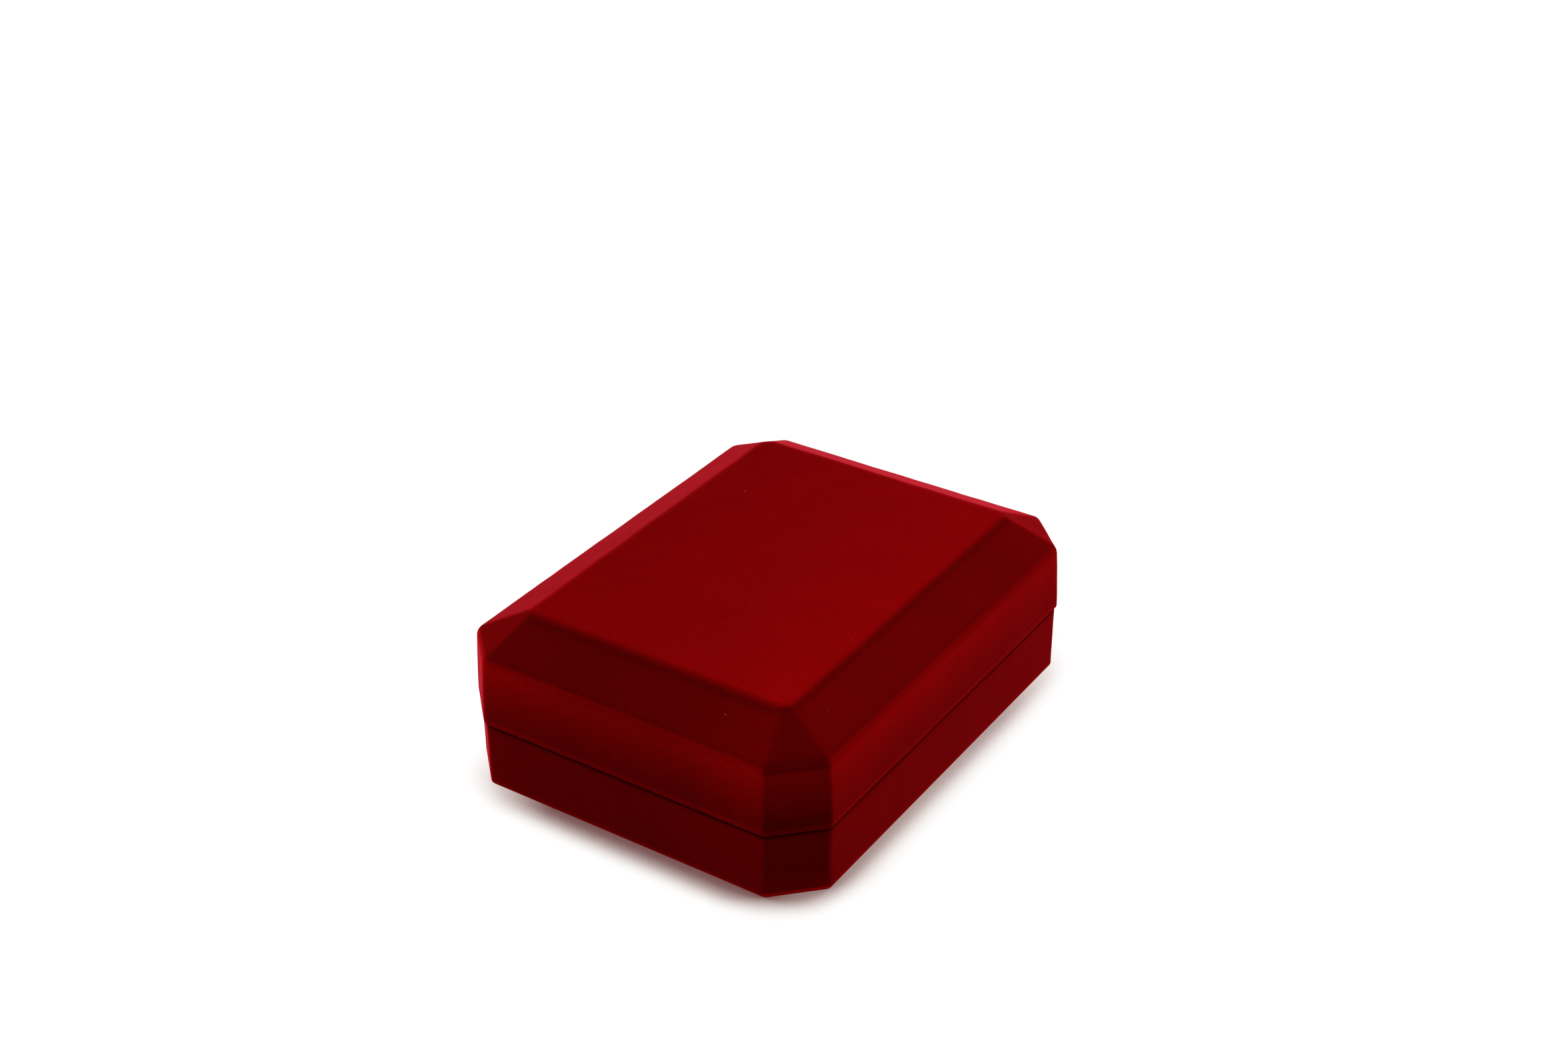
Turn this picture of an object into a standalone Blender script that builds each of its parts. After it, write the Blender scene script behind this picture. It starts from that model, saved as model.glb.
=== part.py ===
"""Velvet jewelry case: a flocked two-shell pendant case with a snap hinge, a slit pad and a satin lid cushion.

The case stands closed on its underside. The origin is the centre of the underside, +Z is up, the front
is -Y and the hinge is at the rear, +Y. All sizes are in metres.
"""

import math
from collections import namedtuple

import bmesh
import bpy
from mathutils import Matrix

MM = 0.001
DEGREE = math.pi / 180

# Case body
CASE_WIDTH = 70.0 * MM
CASE_LENGTH = 90.7 * MM
CASE_HEIGHT = 29.8 * MM
CORNER_LEG = 7.65 * MM  # how far each 45 degree corner cut runs along a side
SEAM_HEIGHT = 12.2 * MM  # middle of the parting line
SHOULDER_HEIGHT = 24.75 * MM  # where the lid's wall meets its bevels
BEVEL_INSET = 9.5 * MM  # how far the flat top lies inside the walls
BASE_WALL = 1.8 * MM
FLOOR_THICKNESS = 1.8 * MM
LID_OVERHANG = 0.25 * MM  # how far the lid stands out past the base
BASE_DRAFT = 0.2 * MM
LID_DRAFT = 0.2 * MM
EDGE_RADIUS = 1.8 * MM  # upright edges and the edges between bevels
BOTTOM_RADIUS = 1.2 * MM
SHOULDER_RADIUS = 2.0 * MM
TOP_RADIUS = 2.0 * MM
LIP_RADIUS = 0.6 * MM  # outer edge of both rims
RIM_INNER_RADIUS = 0.3 * MM
INSIDE_RADIUS = 1.0 * MM  # edges inside the hollow

# Fits
FIT = 0.3 * MM  # gap between pieces that rest on or in each other
OVERRUN = 2.0 * MM  # how far a cut runs past what it cuts

# Hinge
SHEET = 0.5 * MM
PIN_RADIUS = 0.65 * MM
PIN_CLEARANCE = 0.15 * MM
PIN_END_BEVEL = 0.2 * MM
HINGE_LENGTH = 38.0 * MM
OUTER_KNUCKLE = 7.0 * MM
INNER_KNUCKLE = 5.0 * MM
LEAF_REACH = 8.3 * MM  # from the pin's axis to a leaf's far edge
BEND_RADIUS = 0.45 * MM  # at the middle of the sheet
CURL_END = 200 * DEGREE
NOTCH_GAP = 0.6 * MM  # beside the knuckles
SEAT_LIP = 1.0 * MM  # moulded lip that holds a leaf, in thickness and in cover
SEAT_WALL = 1.6 * MM  # moulded wall at a leaf's edges
SEAT_TOP_GAP = 0.9 * MM  # from the notch to the moulded seat

# Snap spring
SPRING_WIDTH = 11.0 * MM
SPRING_THICKNESS = 0.4 * MM
SPRING_BULGE = 1.7 * MM  # from the leaves' inner faces to the middle of the band
SPRING_SEAT = 6.3 * MM  # from the pin's axis to each slot, along the leaf

# Base pad
PAD_REAR_GAP = 1.3 * MM  # from the spring to the pad and the lid cushion
PAD_REAR_LEG = 2.6 * MM  # least corner cut at the rear of the pad and the lid cushion
SPONGE_THICKNESS = 3.0 * MM
SPONGE_SIDE_GAP = 0.4 * MM  # the sponge is cut a little smaller than the board
BOARD_THICKNESS = 1.0 * MM
VELVET_THICKNESS = 0.5 * MM
PAD_SKIRT = 3.2 * MM  # how far the velvet wraps down from the board's top
PAD_CROWN = 0.3 * MM
PAD_CORNER_RADIUS = 0.9 * MM

# Slits in the pad
SLIT_WIDTH = 1.0 * MM
CHAIN_SLIT_LENGTH = 9.0 * MM
CHAIN_SLIT_SPREAD = 26.0 * MM
CHAIN_SLIT_FROM_REAR = 11.0 * MM
CHAIN_SLIT_TURN = 35 * DEGREE
EARRING_SLIT_LENGTH = 3.6 * MM
EARRING_SLIT_SPREAD = 18.0 * MM
EARRING_SLIT_FROM_REAR = 36.0 * MM
SLIT_DEPTH = 2.0 * MM  # into the sponge

# Lid cushion
CARD_THICKNESS = 1.0 * MM
LID_SPONGE_EDGE = 2.6 * MM
SATIN_THICKNESS = 0.5 * MM
LID_CROWN = 1.4 * MM

# Roundness of the meshes
CORNER_STEPS = 4
EDGE_STEPS = 4
CURL_STEPS = 20
SPRING_STEPS = 20
PIN_SIDES = 24
CORNER_ROOM_SHARE = 0.45  # of a side, at most, for one rounded corner
CROWN_RING_SHARES = (0.3, 0.5, 0.68, 0.82, 0.93)
CROWN_POWER = 3  # how full a crowned face is: 2 is a parabola

# Places that follow from the sizes
LID_WALL = BASE_WALL + LID_OVERHANG  # the two shells are flush inside
RIM_BASE = SEAM_HEIGHT - FIT / 2
RIM_LID = SEAM_HEIGHT + FIT / 2
AXIS_Y = CASE_LENGTH / 2  # the pin lies in the plane of the lid's rear wall
INSIDE_REAR = AXIS_Y - LID_WALL
KNUCKLE_RADIUS = PIN_RADIUS + PIN_CLEARANCE + SHEET
LEAF_OUTER = INSIDE_REAR - FIT
LEAF_INNER = LEAF_OUTER - SHEET
SPRING_CREST = LEAF_INNER - SPRING_BULGE
PAD_REAR = SPRING_CREST - SPRING_THICKNESS / 2 - PAD_REAR_GAP

Plan = namedtuple("Plan", "half_width front rear front_leg rear_leg")


def inset_plan(plan, distance):
    """The plan drawn in by a distance on every side, the corner cuts included."""
    leg_loss = distance * (2 - math.sqrt(2))
    return Plan(
        plan.half_width - distance,
        plan.front + distance,
        plan.rear - distance,
        plan.front_leg - leg_loss,
        plan.rear_leg - leg_loss,
    )


def scaled_plan(plan, share):
    """The plan shrunk about its own centre."""
    middle = (plan.front + plan.rear) / 2
    return Plan(
        plan.half_width * share,
        middle + (plan.front - middle) * share,
        middle + (plan.rear - middle) * share,
        plan.front_leg * share,
        plan.rear_leg * share,
    )


def trimmed_plan(plan, rear, least_leg):
    """The plan cut off at the rear, where what is left of its corner cuts stays."""
    leg = plan.rear_leg - (plan.rear - rear)
    return plan._replace(rear=rear, rear_leg=max(leg, least_leg))


CASE_PLAN = Plan(CASE_WIDTH / 2, -CASE_LENGTH / 2, CASE_LENGTH / 2, CORNER_LEG, CORNER_LEG)
INSIDE_PLAN = inset_plan(CASE_PLAN, LID_WALL)
CUSHION_PLAN = trimmed_plan(inset_plan(INSIDE_PLAN, FIT), PAD_REAR, PAD_REAR_LEG)


def clear_scene():
    for obj in list(bpy.data.objects):
        bpy.data.objects.remove(obj, do_unlink=True)


def finish_material(name, colour, roughness, metallic):
    material = bpy.data.materials.new(name)
    material.use_nodes = True
    shader = material.node_tree.nodes["Principled BSDF"]
    shader.inputs["Base Color"].default_value = (*colour, 1)
    shader.inputs["Roughness"].default_value = roughness
    shader.inputs["Metallic"].default_value = metallic
    return material


def rounded(corners, radius, steps):
    """A closed outline with an arc at each corner, kept within its share of the shorter side."""
    points = []
    count = len(corners)
    for index, (x, y) in enumerate(corners):
        before = corners[index - 1]
        after = corners[(index + 1) % count]
        to_before = math.hypot(before[0] - x, before[1] - y)
        to_after = math.hypot(after[0] - x, after[1] - y)
        back = ((before[0] - x) / to_before, (before[1] - y) / to_before)
        ahead = ((after[0] - x) / to_after, (after[1] - y) / to_after)
        opening = math.acos(back[0] * ahead[0] + back[1] * ahead[1])
        reach = min(radius / math.tan(opening / 2), CORNER_ROOM_SHARE * min(to_before, to_after))
        arc_radius = reach * math.tan(opening / 2)
        middle = (back[0] + ahead[0], back[1] + ahead[1])
        to_centre = math.hypot(reach, arc_radius) / math.hypot(*middle)
        centre = (x + middle[0] * to_centre, y + middle[1] * to_centre)
        start = (x + back[0] * reach - centre[0], y + back[1] * reach - centre[1])
        turn = math.pi - opening
        if back[0] * ahead[1] - back[1] * ahead[0] > 0:
            turn = -turn
        for step in range(steps + 1):
            angle = turn * step / steps
            points.append(
                (
                    centre[0] + start[0] * math.cos(angle) - start[1] * math.sin(angle),
                    centre[1] + start[0] * math.sin(angle) + start[1] * math.cos(angle),
                )
            )
    return points


def plan_ring(plan, height, radius):
    """The plan's outline at a height, with rounded upright edges."""
    width, front, rear = plan.half_width, plan.front, plan.rear
    cut, rear_cut = plan.front_leg, plan.rear_leg
    corners = [
        (-width + cut, front),
        (width - cut, front),
        (width, front + cut),
        (width, rear - rear_cut),
        (width - rear_cut, rear),
        (-width + rear_cut, rear),
        (-width, rear - rear_cut),
        (-width, front + cut),
    ]
    return [(x, y, height) for x, y in rounded(corners, radius, CORNER_STEPS)]


def filleted(stations, steps):
    """A profile of (inset, height) points with an arc at each inner station that has a radius."""
    profile = [stations[0][:2]]
    for before, station, after in zip(stations, stations[1:], stations[2:]):
        if station[2] == 0:
            profile.append(station[:2])
            continue
        corner = [before[:2], station[:2], after[:2]]
        profile += rounded(corner, station[2], steps)[steps + 1 : 2 * (steps + 1)]
    return profile + [stations[-1][:2]]


def loft(rings):
    """A closed body through rings of equal point counts, with a face over the first and the last."""
    mesh = bmesh.new()
    loops = [[mesh.verts.new(point) for point in ring] for ring in rings]
    for lower, upper in zip(loops, loops[1:]):
        for index in range(len(lower)):
            ahead = (index + 1) % len(lower)
            mesh.faces.new((lower[index], lower[ahead], upper[ahead], upper[index]))
    mesh.faces.new(reversed(loops[0]))
    mesh.faces.new(loops[-1])
    return mesh


def strip(path, thickness, half_width):
    """A bent sheet: the path is its middle line as (y, z) points, and it runs along X."""
    sides = ([], [])
    for index, (y, z) in enumerate(path):
        before = path[max(index - 1, 0)]
        after = path[min(index + 1, len(path) - 1)]
        along = math.hypot(after[0] - before[0], after[1] - before[1])
        across = ((before[1] - after[1]) / along, (after[0] - before[0]) / along)
        for side, sign in zip(sides, (-1, 1)):
            side.append((y + sign * across[0] * thickness / 2, z + sign * across[1] * thickness / 2))
    rings = []
    for (y_one, z_one), (y_two, z_two) in zip(*sides):
        rings.append(
            [
                (-half_width, y_one, z_one),
                (half_width, y_one, z_one),
                (half_width, y_two, z_two),
                (-half_width, y_two, z_two),
            ]
        )
    return loft(rings)


def block(low, high):
    """A box between two opposite corners."""
    corners = [(low[0], low[1]), (high[0], low[1]), (high[0], high[1]), (low[0], high[1])]
    return loft([[(x, y, height) for x, y in corners] for height in (low[2], high[2])])


def make_object(name, mesh, material=None):
    bmesh.ops.recalc_face_normals(mesh, faces=mesh.faces)
    data = bpy.data.meshes.new(name)
    mesh.to_mesh(data)
    mesh.free()
    obj = bpy.data.objects.new(name, data)
    bpy.context.scene.collection.objects.link(obj)
    if material:
        data.materials.append(material)
        data.shade_smooth()
        data.set_sharp_from_angle(angle=35 * DEGREE)
    return obj


def make_tool(name, mesh):
    """A cutter or an addition that isn't a piece by itself."""
    tool = make_object(name, mesh)
    tool.hide_render = True
    tool.display_type = "WIRE"
    return tool


def combine(obj, tool, operation):
    modifier = obj.modifiers.new(tool.name, "BOOLEAN")
    modifier.operation = operation
    modifier.solver = "EXACT"
    modifier.object = tool


def hang_on(pieces, pivot):
    """Parents the pieces to the pivot and leaves them where they are."""
    for piece in pieces:
        piece.parent = pivot
        piece.matrix_parent_inverse = Matrix.Translation(pivot.location).inverted()


def mirrored_height(offset, side):
    """A height that lies below the pin's axis on side -1 and above it on side +1."""
    return SEAM_HEIGHT + side * offset


def span(offset_one, offset_two, side):
    """The lower and the upper of two heights measured from the pin's axis."""
    return sorted((mirrored_height(offset_one, side), mirrored_height(offset_two, side)))


def add_hinge_seat(shell, side, seat_end):
    """Moulds the leaf's pocket inside the rear wall and notches the rim for the knuckles.

    The seat runs from near the notch to seat_end, both measured from the pin's axis.
    """
    label = "base" if side < 0 else "lid"
    notch_depth = KNUCKLE_RADIUS + FIT
    seat_start = notch_depth + SEAT_TOP_GAP
    seat_half = HINGE_LENGTH / 2 + FIT + SEAT_WALL
    seat_inner = LEAF_INNER - FIT - SEAT_LIP
    low, high = span(seat_start, seat_end, side)
    seat = block((-seat_half, seat_inner, low), (seat_half, INSIDE_REAR + BASE_WALL / 2, high))
    combine(shell, make_tool(label + "_seat", seat), "UNION")

    pocket_half = HINGE_LENGTH / 2 + FIT
    low, high = span(seat_start - OVERRUN / 2, LEAF_REACH + FIT, side)
    pocket = block((-pocket_half, LEAF_INNER - FIT, low), (pocket_half, INSIDE_REAR, high))
    combine(shell, make_tool(label + "_pocket", pocket), "DIFFERENCE")

    window_half = HINGE_LENGTH / 2 - SEAT_LIP
    low, high = span(seat_start - OVERRUN / 2, LEAF_REACH - SEAT_LIP, side)
    window = block((-window_half, seat_inner - OVERRUN, low), (window_half, LEAF_OUTER, high))
    combine(shell, make_tool(label + "_window", window), "DIFFERENCE")

    notch_half = HINGE_LENGTH / 2 + NOTCH_GAP
    low, high = span(-OVERRUN, notch_depth, side)
    notch = block((-notch_half, INSIDE_REAR - OVERRUN, low), (notch_half, AXIS_Y + OVERRUN, high))
    combine(shell, make_tool(label + "_notch", notch), "DIFFERENCE")


def make_base_shell():
    """The flocked lower shell: a shallow octagonal tray."""
    outside = filleted(
        [
            (BASE_DRAFT + LID_OVERHANG + BASE_WALL + BOTTOM_RADIUS, 0, 0),
            (BASE_DRAFT + LID_OVERHANG, 0, BOTTOM_RADIUS),
            (LID_OVERHANG, RIM_BASE, LIP_RADIUS),
            (LID_WALL, RIM_BASE, 0),
        ],
        EDGE_STEPS,
    )[:-1]
    inside = filleted(
        [
            (LID_OVERHANG, RIM_BASE, 0),
            (LID_WALL, RIM_BASE, RIM_INNER_RADIUS),
            (LID_WALL, FLOOR_THICKNESS, INSIDE_RADIUS),
            (LID_WALL + BASE_WALL + BOTTOM_RADIUS, FLOOR_THICKNESS, 0),
        ],
        EDGE_STEPS,
    )[1:]
    rings = [plan_ring(inset_plan(CASE_PLAN, inset), height, EDGE_RADIUS) for inset, height in outside]
    rings += [plan_ring(inset_plan(CASE_PLAN, inset), height, INSIDE_RADIUS) for inset, height in inside]
    flock = finish_material("base_flock", (0.19, 0.003, 0.006), 0.95, 0)
    shell = make_object("base_shell", loft(rings), flock)
    add_hinge_seat(shell, -1, SEAM_HEIGHT - FLOOR_THICKNESS / 2)
    return shell


def make_lid_shell():
    """The flocked upper shell: a wall, eight bevels and a flat top, hollow inside."""
    rise = CASE_HEIGHT - SHOULDER_HEIGHT
    run = BEVEL_INSET - LID_DRAFT
    slope = math.atan2(rise, run)
    roof = LID_WALL
    inside_shoulder = SHOULDER_HEIGHT - (roof - (LID_WALL - LID_DRAFT) * math.sin(slope)) / math.cos(slope)
    inside_top = CASE_HEIGHT - roof
    inside_top_inset = LID_WALL + (inside_top - inside_shoulder) / math.tan(slope)
    outside = filleted(
        [
            (LID_WALL, RIM_LID, 0),
            (0, RIM_LID, LIP_RADIUS),
            (LID_DRAFT, SHOULDER_HEIGHT, SHOULDER_RADIUS),
            (BEVEL_INSET, CASE_HEIGHT, TOP_RADIUS),
            (BEVEL_INSET + TOP_RADIUS, CASE_HEIGHT, 0),
        ],
        EDGE_STEPS,
    )[1:]
    inside = filleted(
        [
            (inside_top_inset + INSIDE_RADIUS, inside_top, 0),
            (inside_top_inset, inside_top, INSIDE_RADIUS),
            (LID_WALL, inside_shoulder, INSIDE_RADIUS),
            (LID_WALL, RIM_LID, RIM_INNER_RADIUS),
            (0, RIM_LID, 0),
        ],
        EDGE_STEPS,
    )[:-1]
    rings = [plan_ring(inset_plan(CASE_PLAN, inset), height, INSIDE_RADIUS) for inset, height in inside]
    rings += [plan_ring(inset_plan(CASE_PLAN, inset), height, EDGE_RADIUS) for inset, height in outside]
    flock = finish_material("lid_flock", (0.22, 0.003, 0.007), 0.95, 0)
    shell = make_object("lid_shell", loft(rings), flock)
    add_hinge_seat(shell, 1, LEAF_REACH + FIT + SEAT_WALL)
    return shell, inside_shoulder


def make_leaf(name, side, knuckle_gaps):
    """A stamped leaf: its plate lies in the shell's pocket and its knuckles curl round the pin."""
    middle = (LEAF_INNER + LEAF_OUTER) / 2
    curl = PIN_RADIUS + PIN_CLEARANCE + SHEET / 2
    path = [(middle, -LEAF_REACH), (middle, -curl - BEND_RADIUS)]
    for step in range(1, EDGE_STEPS + 1):
        angle = step / EDGE_STEPS * math.pi / 2
        path.append(
            (
                middle + BEND_RADIUS * (1 - math.cos(angle)),
                -curl - BEND_RADIUS * (1 - math.sin(angle)),
            )
        )
    for step in range(CURL_STEPS + 1):
        angle = -math.pi / 2 + step / CURL_STEPS * (CURL_END + math.pi / 2)
        path.append((AXIS_Y + curl * math.cos(angle), curl * math.sin(angle)))
    path = [(y, mirrored_height(-offset, side)) for y, offset in path]
    steel = finish_material(name + "_steel", (0.62, 0.6, 0.55), 0.35, 1)
    leaf = make_object(name, strip(path, SHEET, HINGE_LENGTH / 2), steel)

    low, high = span(-KNUCKLE_RADIUS - FIT, KNUCKLE_RADIUS + FIT, side)
    for index, (left, right) in enumerate(knuckle_gaps):
        gap = block(
            (left, LEAF_INNER - OVERRUN, low),
            (right, AXIS_Y + KNUCKLE_RADIUS + OVERRUN, high),
        )
        combine(leaf, make_tool(f"{name}_gap_{index + 1}", gap), "DIFFERENCE")

    slant = math.pi / 2 - spring_half_angle()
    slot_half = (SPRING_THICKNESS / math.cos(slant) + SHEET * math.tan(slant)) / 2 + FIT
    low, high = span(SPRING_SEAT - slot_half, SPRING_SEAT + slot_half, side)
    slot = block(
        (-SPRING_WIDTH / 2 - FIT, LEAF_INNER - OVERRUN, low),
        (SPRING_WIDTH / 2 + FIT, LEAF_OUTER + OVERRUN, high),
    )
    combine(leaf, make_tool(name + "_slot", slot), "DIFFERENCE")
    return leaf


def spring_arc():
    """The bow's radius and the y of its centre."""
    foot = (LEAF_INNER + LEAF_OUTER) / 2
    sagitta = foot - SPRING_CREST
    radius = (SPRING_SEAT**2 + sagitta**2) / (2 * sagitta)
    return radius, SPRING_CREST + radius


def spring_half_angle():
    return math.asin(SPRING_SEAT / spring_arc()[0])


def make_spring():
    """The snap spring: a bowed steel band whose ends sit in slots of the two leaves."""
    radius, centre = spring_arc()
    half_angle = spring_half_angle()
    path = []
    for step in range(SPRING_STEPS + 1):
        angle = half_angle * (2 * step / SPRING_STEPS - 1)
        path.append((centre - radius * math.cos(angle), SEAM_HEIGHT + radius * math.sin(angle)))
    steel = finish_material("spring_steel", (0.5, 0.52, 0.56), 0.28, 1)
    return make_object("snap_spring", strip(path, SPRING_THICKNESS, SPRING_WIDTH / 2), steel)


def make_pin():
    """The hinge pin, held by the lower leaf's knuckles."""
    half = HINGE_LENGTH / 2 + FIT
    stations = [
        (-half, PIN_RADIUS - PIN_END_BEVEL),
        (-half + PIN_END_BEVEL, PIN_RADIUS),
        (half - PIN_END_BEVEL, PIN_RADIUS),
        (half, PIN_RADIUS - PIN_END_BEVEL),
    ]
    rings = []
    for x, radius in stations:
        angles = [2 * math.pi * side / PIN_SIDES for side in range(PIN_SIDES)]
        rings.append(
            [(x, AXIS_Y + radius * math.cos(a), SEAM_HEIGHT + radius * math.sin(a)) for a in angles]
        )
    steel = finish_material("pin_steel", (0.66, 0.66, 0.68), 0.25, 1)
    return make_object("hinge_pin", loft(rings), steel)


def crown_rings(plan, edge_height, crown, radius):
    """Rings from near the middle of a crowned face out to its edge, the edge left out."""
    rings = []
    for share in CROWN_RING_SHARES:
        height = edge_height + crown * (1 - share**CROWN_POWER)
        rings.append(plan_ring(scaled_plan(plan, share), height, radius * share))
    return rings


def wrapped_cover(plan, edge_height, crown, hem_height, thickness):
    """Cloth over a crowned face and down its sides, open at the back."""
    up = 1 if edge_height > hem_height else -1
    inner = inset_plan(plan, thickness)
    lining = edge_height - up * thickness
    edge = filleted(
        [
            (PAD_CORNER_RADIUS + thickness, edge_height, 0),
            (0, edge_height, PAD_CORNER_RADIUS),
            (0, hem_height, 0),
        ],
        EDGE_STEPS,
    )[1:]
    rings = crown_rings(plan, edge_height, up * crown, INSIDE_RADIUS)
    rings += [plan_ring(inset_plan(plan, inset), height, INSIDE_RADIUS) for inset, height in edge]
    rings.append(plan_ring(inner, hem_height, INSIDE_RADIUS))
    rings.append(plan_ring(inner, lining, INSIDE_RADIUS))
    rings += reversed(crown_rings(inner, lining, up * crown, INSIDE_RADIUS))
    return loft(rings)


def flat_slab(plan, bottom, top):
    """A slab with flat faces."""
    return loft([plan_ring(plan, height, INSIDE_RADIUS) for height in (bottom, top)])


def crowned_slab(plan, edge_height, crown, back_height):
    """A slab with a flat back and a crowned face."""
    rings = crown_rings(plan, edge_height, crown, INSIDE_RADIUS)
    rings.append(plan_ring(plan, edge_height, INSIDE_RADIUS))
    rings.append(plan_ring(plan, back_height, INSIDE_RADIUS))
    return loft(rings)


def make_slit_tool(bottom, top):
    """The chain slits and the earring slits as one cutter."""
    rows = [
        (CHAIN_SLIT_SPREAD, CHAIN_SLIT_FROM_REAR, CHAIN_SLIT_LENGTH, CHAIN_SLIT_TURN),
        (EARRING_SLIT_SPREAD, EARRING_SLIT_FROM_REAR, EARRING_SLIT_LENGTH, 0),
    ]
    slits = bmesh.new()
    for spread, from_rear, length, turn in rows:
        for side in (-1, 1):
            slit = block((-length / 2, -SLIT_WIDTH / 2, bottom), (length / 2, SLIT_WIDTH / 2, top))
            place = Matrix.Translation((side * spread / 2, PAD_REAR - from_rear, 0))
            bmesh.ops.transform(slit, matrix=place @ Matrix.Rotation(side * turn, 4, "Z"), verts=slit.verts)
            data = bpy.data.meshes.new("slit")
            slit.to_mesh(data)
            slit.free()
            slits.from_mesh(data)
            bpy.data.meshes.remove(data)
    return make_tool("pad_slits", slits)


def make_pad():
    """The base pad: a sponge, a card board on it and velvet wrapped over both."""
    sponge_bottom = FLOOR_THICKNESS + FIT
    sponge_top = sponge_bottom + SPONGE_THICKNESS
    board_bottom = sponge_top + FIT
    board_top = board_bottom + BOARD_THICKNESS
    velvet_edge = board_top + FIT + VELVET_THICKNESS
    core_plan = inset_plan(CUSHION_PLAN, VELVET_THICKNESS + FIT)

    foam = finish_material("pad_foam", (0.06, 0.06, 0.065), 0.95, 0)
    sponge_plan = inset_plan(core_plan, SPONGE_SIDE_GAP)
    sponge = make_object("pad_sponge", flat_slab(sponge_plan, sponge_bottom, sponge_top), foam)
    card = finish_material("pad_card", (0.42, 0.36, 0.28), 0.9, 0)
    board = make_object("pad_board", flat_slab(core_plan, board_bottom, board_top), card)
    pile = finish_material("pad_pile", (0.2, 0.003, 0.007), 0.95, 0)
    cloth = wrapped_cover(CUSHION_PLAN, velvet_edge, PAD_CROWN, board_top - PAD_SKIRT, VELVET_THICKNESS)
    velvet = make_object("pad_velvet", cloth, pile)

    slits = make_slit_tool(sponge_top - SLIT_DEPTH, velvet_edge + PAD_CROWN + OVERRUN)
    for piece in (sponge, board, velvet):
        combine(piece, slits, "DIFFERENCE")


def make_lid_cushion(inside_shoulder):
    """The lid's puffed cushion: a card under the roof, a sponge below it and satin wrapped round both."""
    card_top = inside_shoulder - FIT
    card_bottom = card_top - CARD_THICKNESS
    sponge_top = card_bottom - FIT
    sponge_edge = sponge_top - LID_SPONGE_EDGE
    satin_edge = sponge_edge - FIT - SATIN_THICKNESS
    core_plan = inset_plan(CUSHION_PLAN, SATIN_THICKNESS + FIT)

    board = finish_material("lid_board", (0.5, 0.44, 0.35), 0.9, 0)
    card = make_object("lid_card", flat_slab(core_plan, card_bottom, card_top), board)
    foam = finish_material("lid_foam", (0.75, 0.72, 0.65), 0.95, 0)
    slab = crowned_slab(core_plan, sponge_edge, -LID_CROWN, sponge_top)
    sponge = make_object("lid_sponge", slab, foam)
    silk = finish_material("lid_silk", (0.82, 0.78, 0.7), 0.35, 0)
    cloth = wrapped_cover(CUSHION_PLAN, satin_edge, LID_CROWN, card_top, SATIN_THICKNESS)
    satin = make_object("lid_satin", cloth, silk)
    return [card, sponge, satin]


def main():
    clear_scene()
    pivot = bpy.data.objects.new("lid_pivot", None)
    pivot.location = (0, AXIS_Y, SEAM_HEIGHT)
    bpy.context.scene.collection.objects.link(pivot)

    hinge_half = HINGE_LENGTH / 2
    outer_start = hinge_half - OUTER_KNUCKLE
    inner_end = outer_start - FIT
    inner_start = inner_end - INNER_KNUCKLE
    past_end = hinge_half + OVERRUN

    make_base_shell()
    make_pad()
    make_leaf("hinge_leaf_lower", -1, [(-outer_start, outer_start)])
    make_pin()
    make_spring()

    lid_shell, inside_shoulder = make_lid_shell()
    upper_gaps = [(-past_end, -inner_end), (-inner_start, inner_start), (inner_end, past_end)]
    leaf = make_leaf("hinge_leaf_upper", 1, upper_gaps)
    hang_on([lid_shell, leaf, *make_lid_cushion(inside_shoulder)], pivot)


main()
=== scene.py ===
"""Looks of a velvet jewelry case: flocked shells, slit pad, satin cushion, steel hinge and stage.

The file is laid out as an add-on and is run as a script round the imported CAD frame. Lengths are in metres,
+Z is up, the front is -Y, the hinge is at the rear, and the case stands on z = 0.
"""

import math
from collections import namedtuple

import bmesh
import bpy
import numpy as np
from bpy.props import FloatProperty, FloatVectorProperty, PointerProperty
from mathutils import Euler, Matrix, Vector


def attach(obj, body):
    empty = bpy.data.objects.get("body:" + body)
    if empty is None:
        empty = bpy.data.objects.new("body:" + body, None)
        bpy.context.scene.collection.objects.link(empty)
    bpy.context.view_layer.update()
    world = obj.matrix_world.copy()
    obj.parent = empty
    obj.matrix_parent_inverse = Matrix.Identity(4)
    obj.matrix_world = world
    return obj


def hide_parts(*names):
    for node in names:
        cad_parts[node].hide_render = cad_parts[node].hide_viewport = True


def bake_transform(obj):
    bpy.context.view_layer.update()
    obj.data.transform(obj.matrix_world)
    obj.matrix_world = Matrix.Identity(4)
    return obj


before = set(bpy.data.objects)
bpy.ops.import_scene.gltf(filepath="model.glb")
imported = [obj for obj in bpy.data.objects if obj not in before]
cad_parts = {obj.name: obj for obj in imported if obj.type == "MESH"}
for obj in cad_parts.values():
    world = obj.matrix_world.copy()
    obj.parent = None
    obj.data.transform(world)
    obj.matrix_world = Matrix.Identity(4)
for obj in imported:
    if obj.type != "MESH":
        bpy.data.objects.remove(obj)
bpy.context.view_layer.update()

bl_info = {
    "name": "Velvet Jewelry Case",
    "version": (1, 0, 0),
    "blender": (4, 5, 0),
    "location": "View3D > Sidebar > Jewelry Case",
    "description": "Builds an octagonal flocked jewelry case with its pad, satin cushion, hinge and stage",
    "category": "Add Mesh",
}

MM = 0.001
DEGREE = math.pi / 180
SWEEP = "eight_sided_sweep"
STATION_VALUES = ("edge_radius", "corner_push", "end_shift")
ROOM_SHARE = 0.45  # of a side, at most, for one rounded corner
MITRE_LOSS = 2 - math.sqrt(2)  # how much of a corner leg each unit of inset takes

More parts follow.
